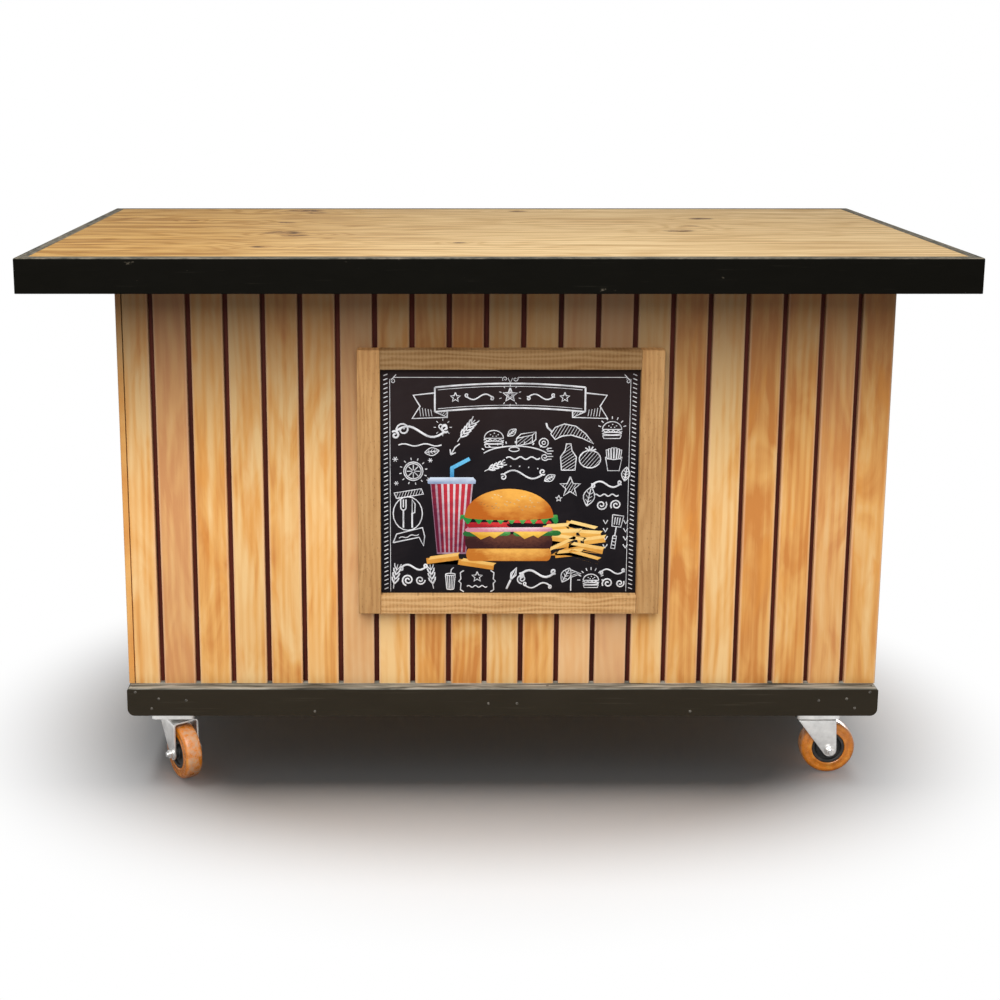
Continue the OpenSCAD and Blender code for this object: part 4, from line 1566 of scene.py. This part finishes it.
def tread_model():
    """Cast tread: a shallow dish on each side, round shoulders and a slightly domed rolling face."""
    side = [(30.0, 15.2), (31.0, 16.0), (34.5, 16.0), (35.5, 15.5), (39.5, 15.5), (41.0, 15.9)]
    side += [(r, h) for r, h in arc((42.4, 8.9), 7.0, 82, 8, 9)]
    side += [(49.75, 6.0), (49.95, 3.0)]
    profile = [(r * MM, h * MM) for r, h in side] + [(r * MM, -h * MM) for r, h in reversed(side)]
    return turned("tread", profile, sizes().wheel_steps)


class CART_OT_castors(bpy.types.Operator):
    """Model one castor and set a copy at each corner"""

    bl_idname = "cart.castors"
    bl_label = "Castors"

    def execute(self, context):
        models = {
            "plate": plate_model(), "fork": fork_model(), "axle": axle_model(),
            "hub": hub_model(), "tread": tread_model(),
        }
        for part in ("axle", "hub", "tread"):
            models[part].data.transform(to_axle())
        pressed, bolts, nylon = zinc_finish("Zinc plate", 0.24), zinc_finish("Zinc bolt", 0.18), hub_finish()
        for castor in CASTORS:
            swivel, roll = JOINTS[f"{castor}_swivel"], JOINTS[f"{castor}_roll"]
            x, y = swivel["pos_m"][:2]
            turn = math.atan2(roll["pos_m"][1] - y, roll["pos_m"][0] - x)
            place = Matrix.Translation((x, y, 0))
            trailing = place @ Matrix.Rotation(turn, 4, "Z")
            amber = tread_finish(f"Amber tread {castor.replace('_', ' ')}", roll["pos_m"], roll["axis"])
            for part, body, slot, material, matrix in (
                ("plate", "root", "zinc_plate", pressed, place),
                ("fork", f"{castor}_castor", "zinc_plate", pressed, trailing),
                ("axle", f"{castor}_castor", "zinc_bolt", bolts, trailing),
                ("hub", f"{castor}_wheel", "wheel_hub", nylon, trailing),
                ("tread", f"{castor}_wheel", "wheel_tread", amber, trailing),
            ):
                piece = models[part].copy()
                piece.data = models[part].data.copy()
                piece.name = piece.data.name = f"{castor}_castor_{part}"
                bpy.context.scene.collection.objects.link(piece)
                piece.data.transform(matrix)
                dress(piece, body, slot, material, replaces=(f"{castor}_{part}",))
        for model in models.values():
            bpy.data.objects.remove(model)
        return {"FINISHED"}


# ---- Stage -----------------------------------------------------------------------------


def floor_finish(shade):
    """Pale floor that keeps the cart's shadow and runs out to plain white for the camera."""
    finish = Finish("Pale floor")
    x, y, z = finish.place()
    distance = (x * x * 0.6 + y * y).root()
    far = distance.step(0.47, 0.84)
    rays = finish.node("ShaderNodeLightPath")
    seen = Value(finish, rays.outputs["Is Camera Ray"])
    for kind in ("Is Glossy Ray", "Is Transmission Ray"):
        seen = seen.math("MAXIMUM", Value(finish, rays.outputs[kind]))
    matt = finish.node("ShaderNodeBsdfDiffuse", values={"Color": shade})
    white = finish.node("ShaderNodeEmission", values={"Color": (1, 1, 1), "Strength": 1.0})
    mixed = finish.node("ShaderNodeMixShader", values={0: far * seen, 1: matt.outputs[0], 2: white.outputs[0]})
    finish.node("ShaderNodeOutputMaterial", values={0: mixed.outputs[0]})
    return finish.material


def lamp(name, place, aim, size, power, piece, link):
    """An area lamp that points at a place and lights only the given piece, or all but that piece."""
    fresh_start()
    bpy.ops.object.light_add(type="AREA", location=place)
    light = bpy.context.object
    light.name = name
    light.data.shape, light.data.energy = "RECTANGLE", power
    light.data.size, light.data.size_y = size
    receivers = bpy.data.collections.new(name + " receivers")
    receivers.objects.link(piece)
    light.light_linking.receiver_collection = receivers
    receivers.collection_objects[0].light_linking.link_state = link
    light.rotation_euler = (Vector(aim) - Vector(place)).to_track_quat("-Z", "Y").to_euler()
    light.visible_camera = False
    return light


def white_world(strength):
    """Even light from all round, which the camera, bright metal and glass see as white."""
    world = bpy.data.worlds.new("Studio")
    bpy.context.scene.world = world
    world.use_nodes = True
    nodes, links = world.node_tree.nodes, world.node_tree.links
    nodes.clear()
    rays = nodes.new("ShaderNodeLightPath")
    level = nodes.new("ShaderNodeMapRange")
    level.inputs["To Min"].default_value = strength
    level.inputs["To Max"].default_value = 1.0
    light = nodes.new("ShaderNodeBackground")
    light.inputs["Color"].default_value = (1, 1, 1, 1)
    output = nodes.new("ShaderNodeOutputWorld")
    seen = rays.outputs["Is Camera Ray"]
    for kind in ("Is Glossy Ray", "Is Transmission Ray"):
        either = nodes.new("ShaderNodeMath")
        either.operation = "MAXIMUM"
        links.new(seen, either.inputs[0])
        links.new(rays.outputs[kind], either.inputs[1])
        seen = either.outputs[0]
    links.new(seen, level.inputs["Value"])
    links.new(level.outputs["Result"], light.inputs["Strength"])
    links.new(light.outputs[0], output.inputs[0])


class CART_OT_stage(bpy.types.Operator):
    """Set the camera, the lamps, the floor and the white surround"""

    bl_idname = "cart.stage"
    bl_label = "Stage"

    def execute(self, context):
        scene, stage = context.scene, context.scene.cart_stage
        fresh_start()
        bpy.ops.object.camera_add(
            location=(-stage.aside, -stage.distance, stage.height), rotation=(math.pi / 2 - stage.tilt, 0, 0)
        )
        camera = bpy.context.object
        camera.data.lens = stage.lens
        camera.data.shift_x, camera.data.shift_y = stage.shift_x, stage.shift_y
        scene.camera = camera
        floor = add("floor", "plane", size=60, location=(0, 0, 0))
        floor.data.materials.append(floor_finish(stage.floor))
        lamp("Front", (-0.35, -2.25, 2.75), (0, -0.27, 0.5), (2.8, 2.8), stage.front, floor, "EXCLUDE")
        lamp("Back", (2.1, 2.3, 0.56), (0, 0, 0.5), (1.8, 0.7), stage.back, floor, "EXCLUDE")
        lamp("Below", (0.0, -0.22, 3.3), (0, -0.22, 0), (3.4, 0.85), stage.below, floor, "INCLUDE")
        white_world(stage.ambient)
        scene.view_settings.view_transform = "Standard"
        return {"FINISHED"}


# ---- Add-on ----------------------------------------------------------------------------

OPERATORS = (
    CART_OT_stage, CART_OT_worktop, CART_OT_body, CART_OT_plinth, CART_OT_frame, CART_OT_chalk, CART_OT_castors
)
SETTINGS = (
    ("cart_timber", CartTimber), ("cart_paint", CartPaint), ("cart_sizes", CartSizes), ("cart_stage", CartStage)
)


class CART_PT_panel(bpy.types.Panel):
    """Lists the cart's settings and steps"""

    bl_idname = "CART_PT_panel"
    bl_label = "Event Cart"
    bl_space_type = "VIEW_3D"
    bl_region_type = "UI"
    bl_category = "Cart"

    def draw(self, context):
        for name, group in SETTINGS:
            box = self.layout.box()
            box.label(text=group.__name__)
            for key in group.__annotations__:
                box.prop(getattr(context.scene, name), key)
        for operator in OPERATORS:
            self.layout.operator(operator.bl_idname)


def register():
    for name, group in SETTINGS:
        bpy.utils.register_class(group)
        setattr(bpy.types.Scene, name, PointerProperty(type=group))
    for item in (*OPERATORS, CART_PT_panel):
        bpy.utils.register_class(item)


def unregister():
    for item in (CART_PT_panel, *reversed(OPERATORS)):
        bpy.utils.unregister_class(item)
    for name, group in reversed(SETTINGS):
        delattr(bpy.types.Scene, name)
        bpy.utils.unregister_class(group)


def main():
    register()
    for operator in OPERATORS:
        step = operator.bl_idname.split(".")[1]
        getattr(bpy.ops.cart, step)()


if __name__ == "__main__":
    main()
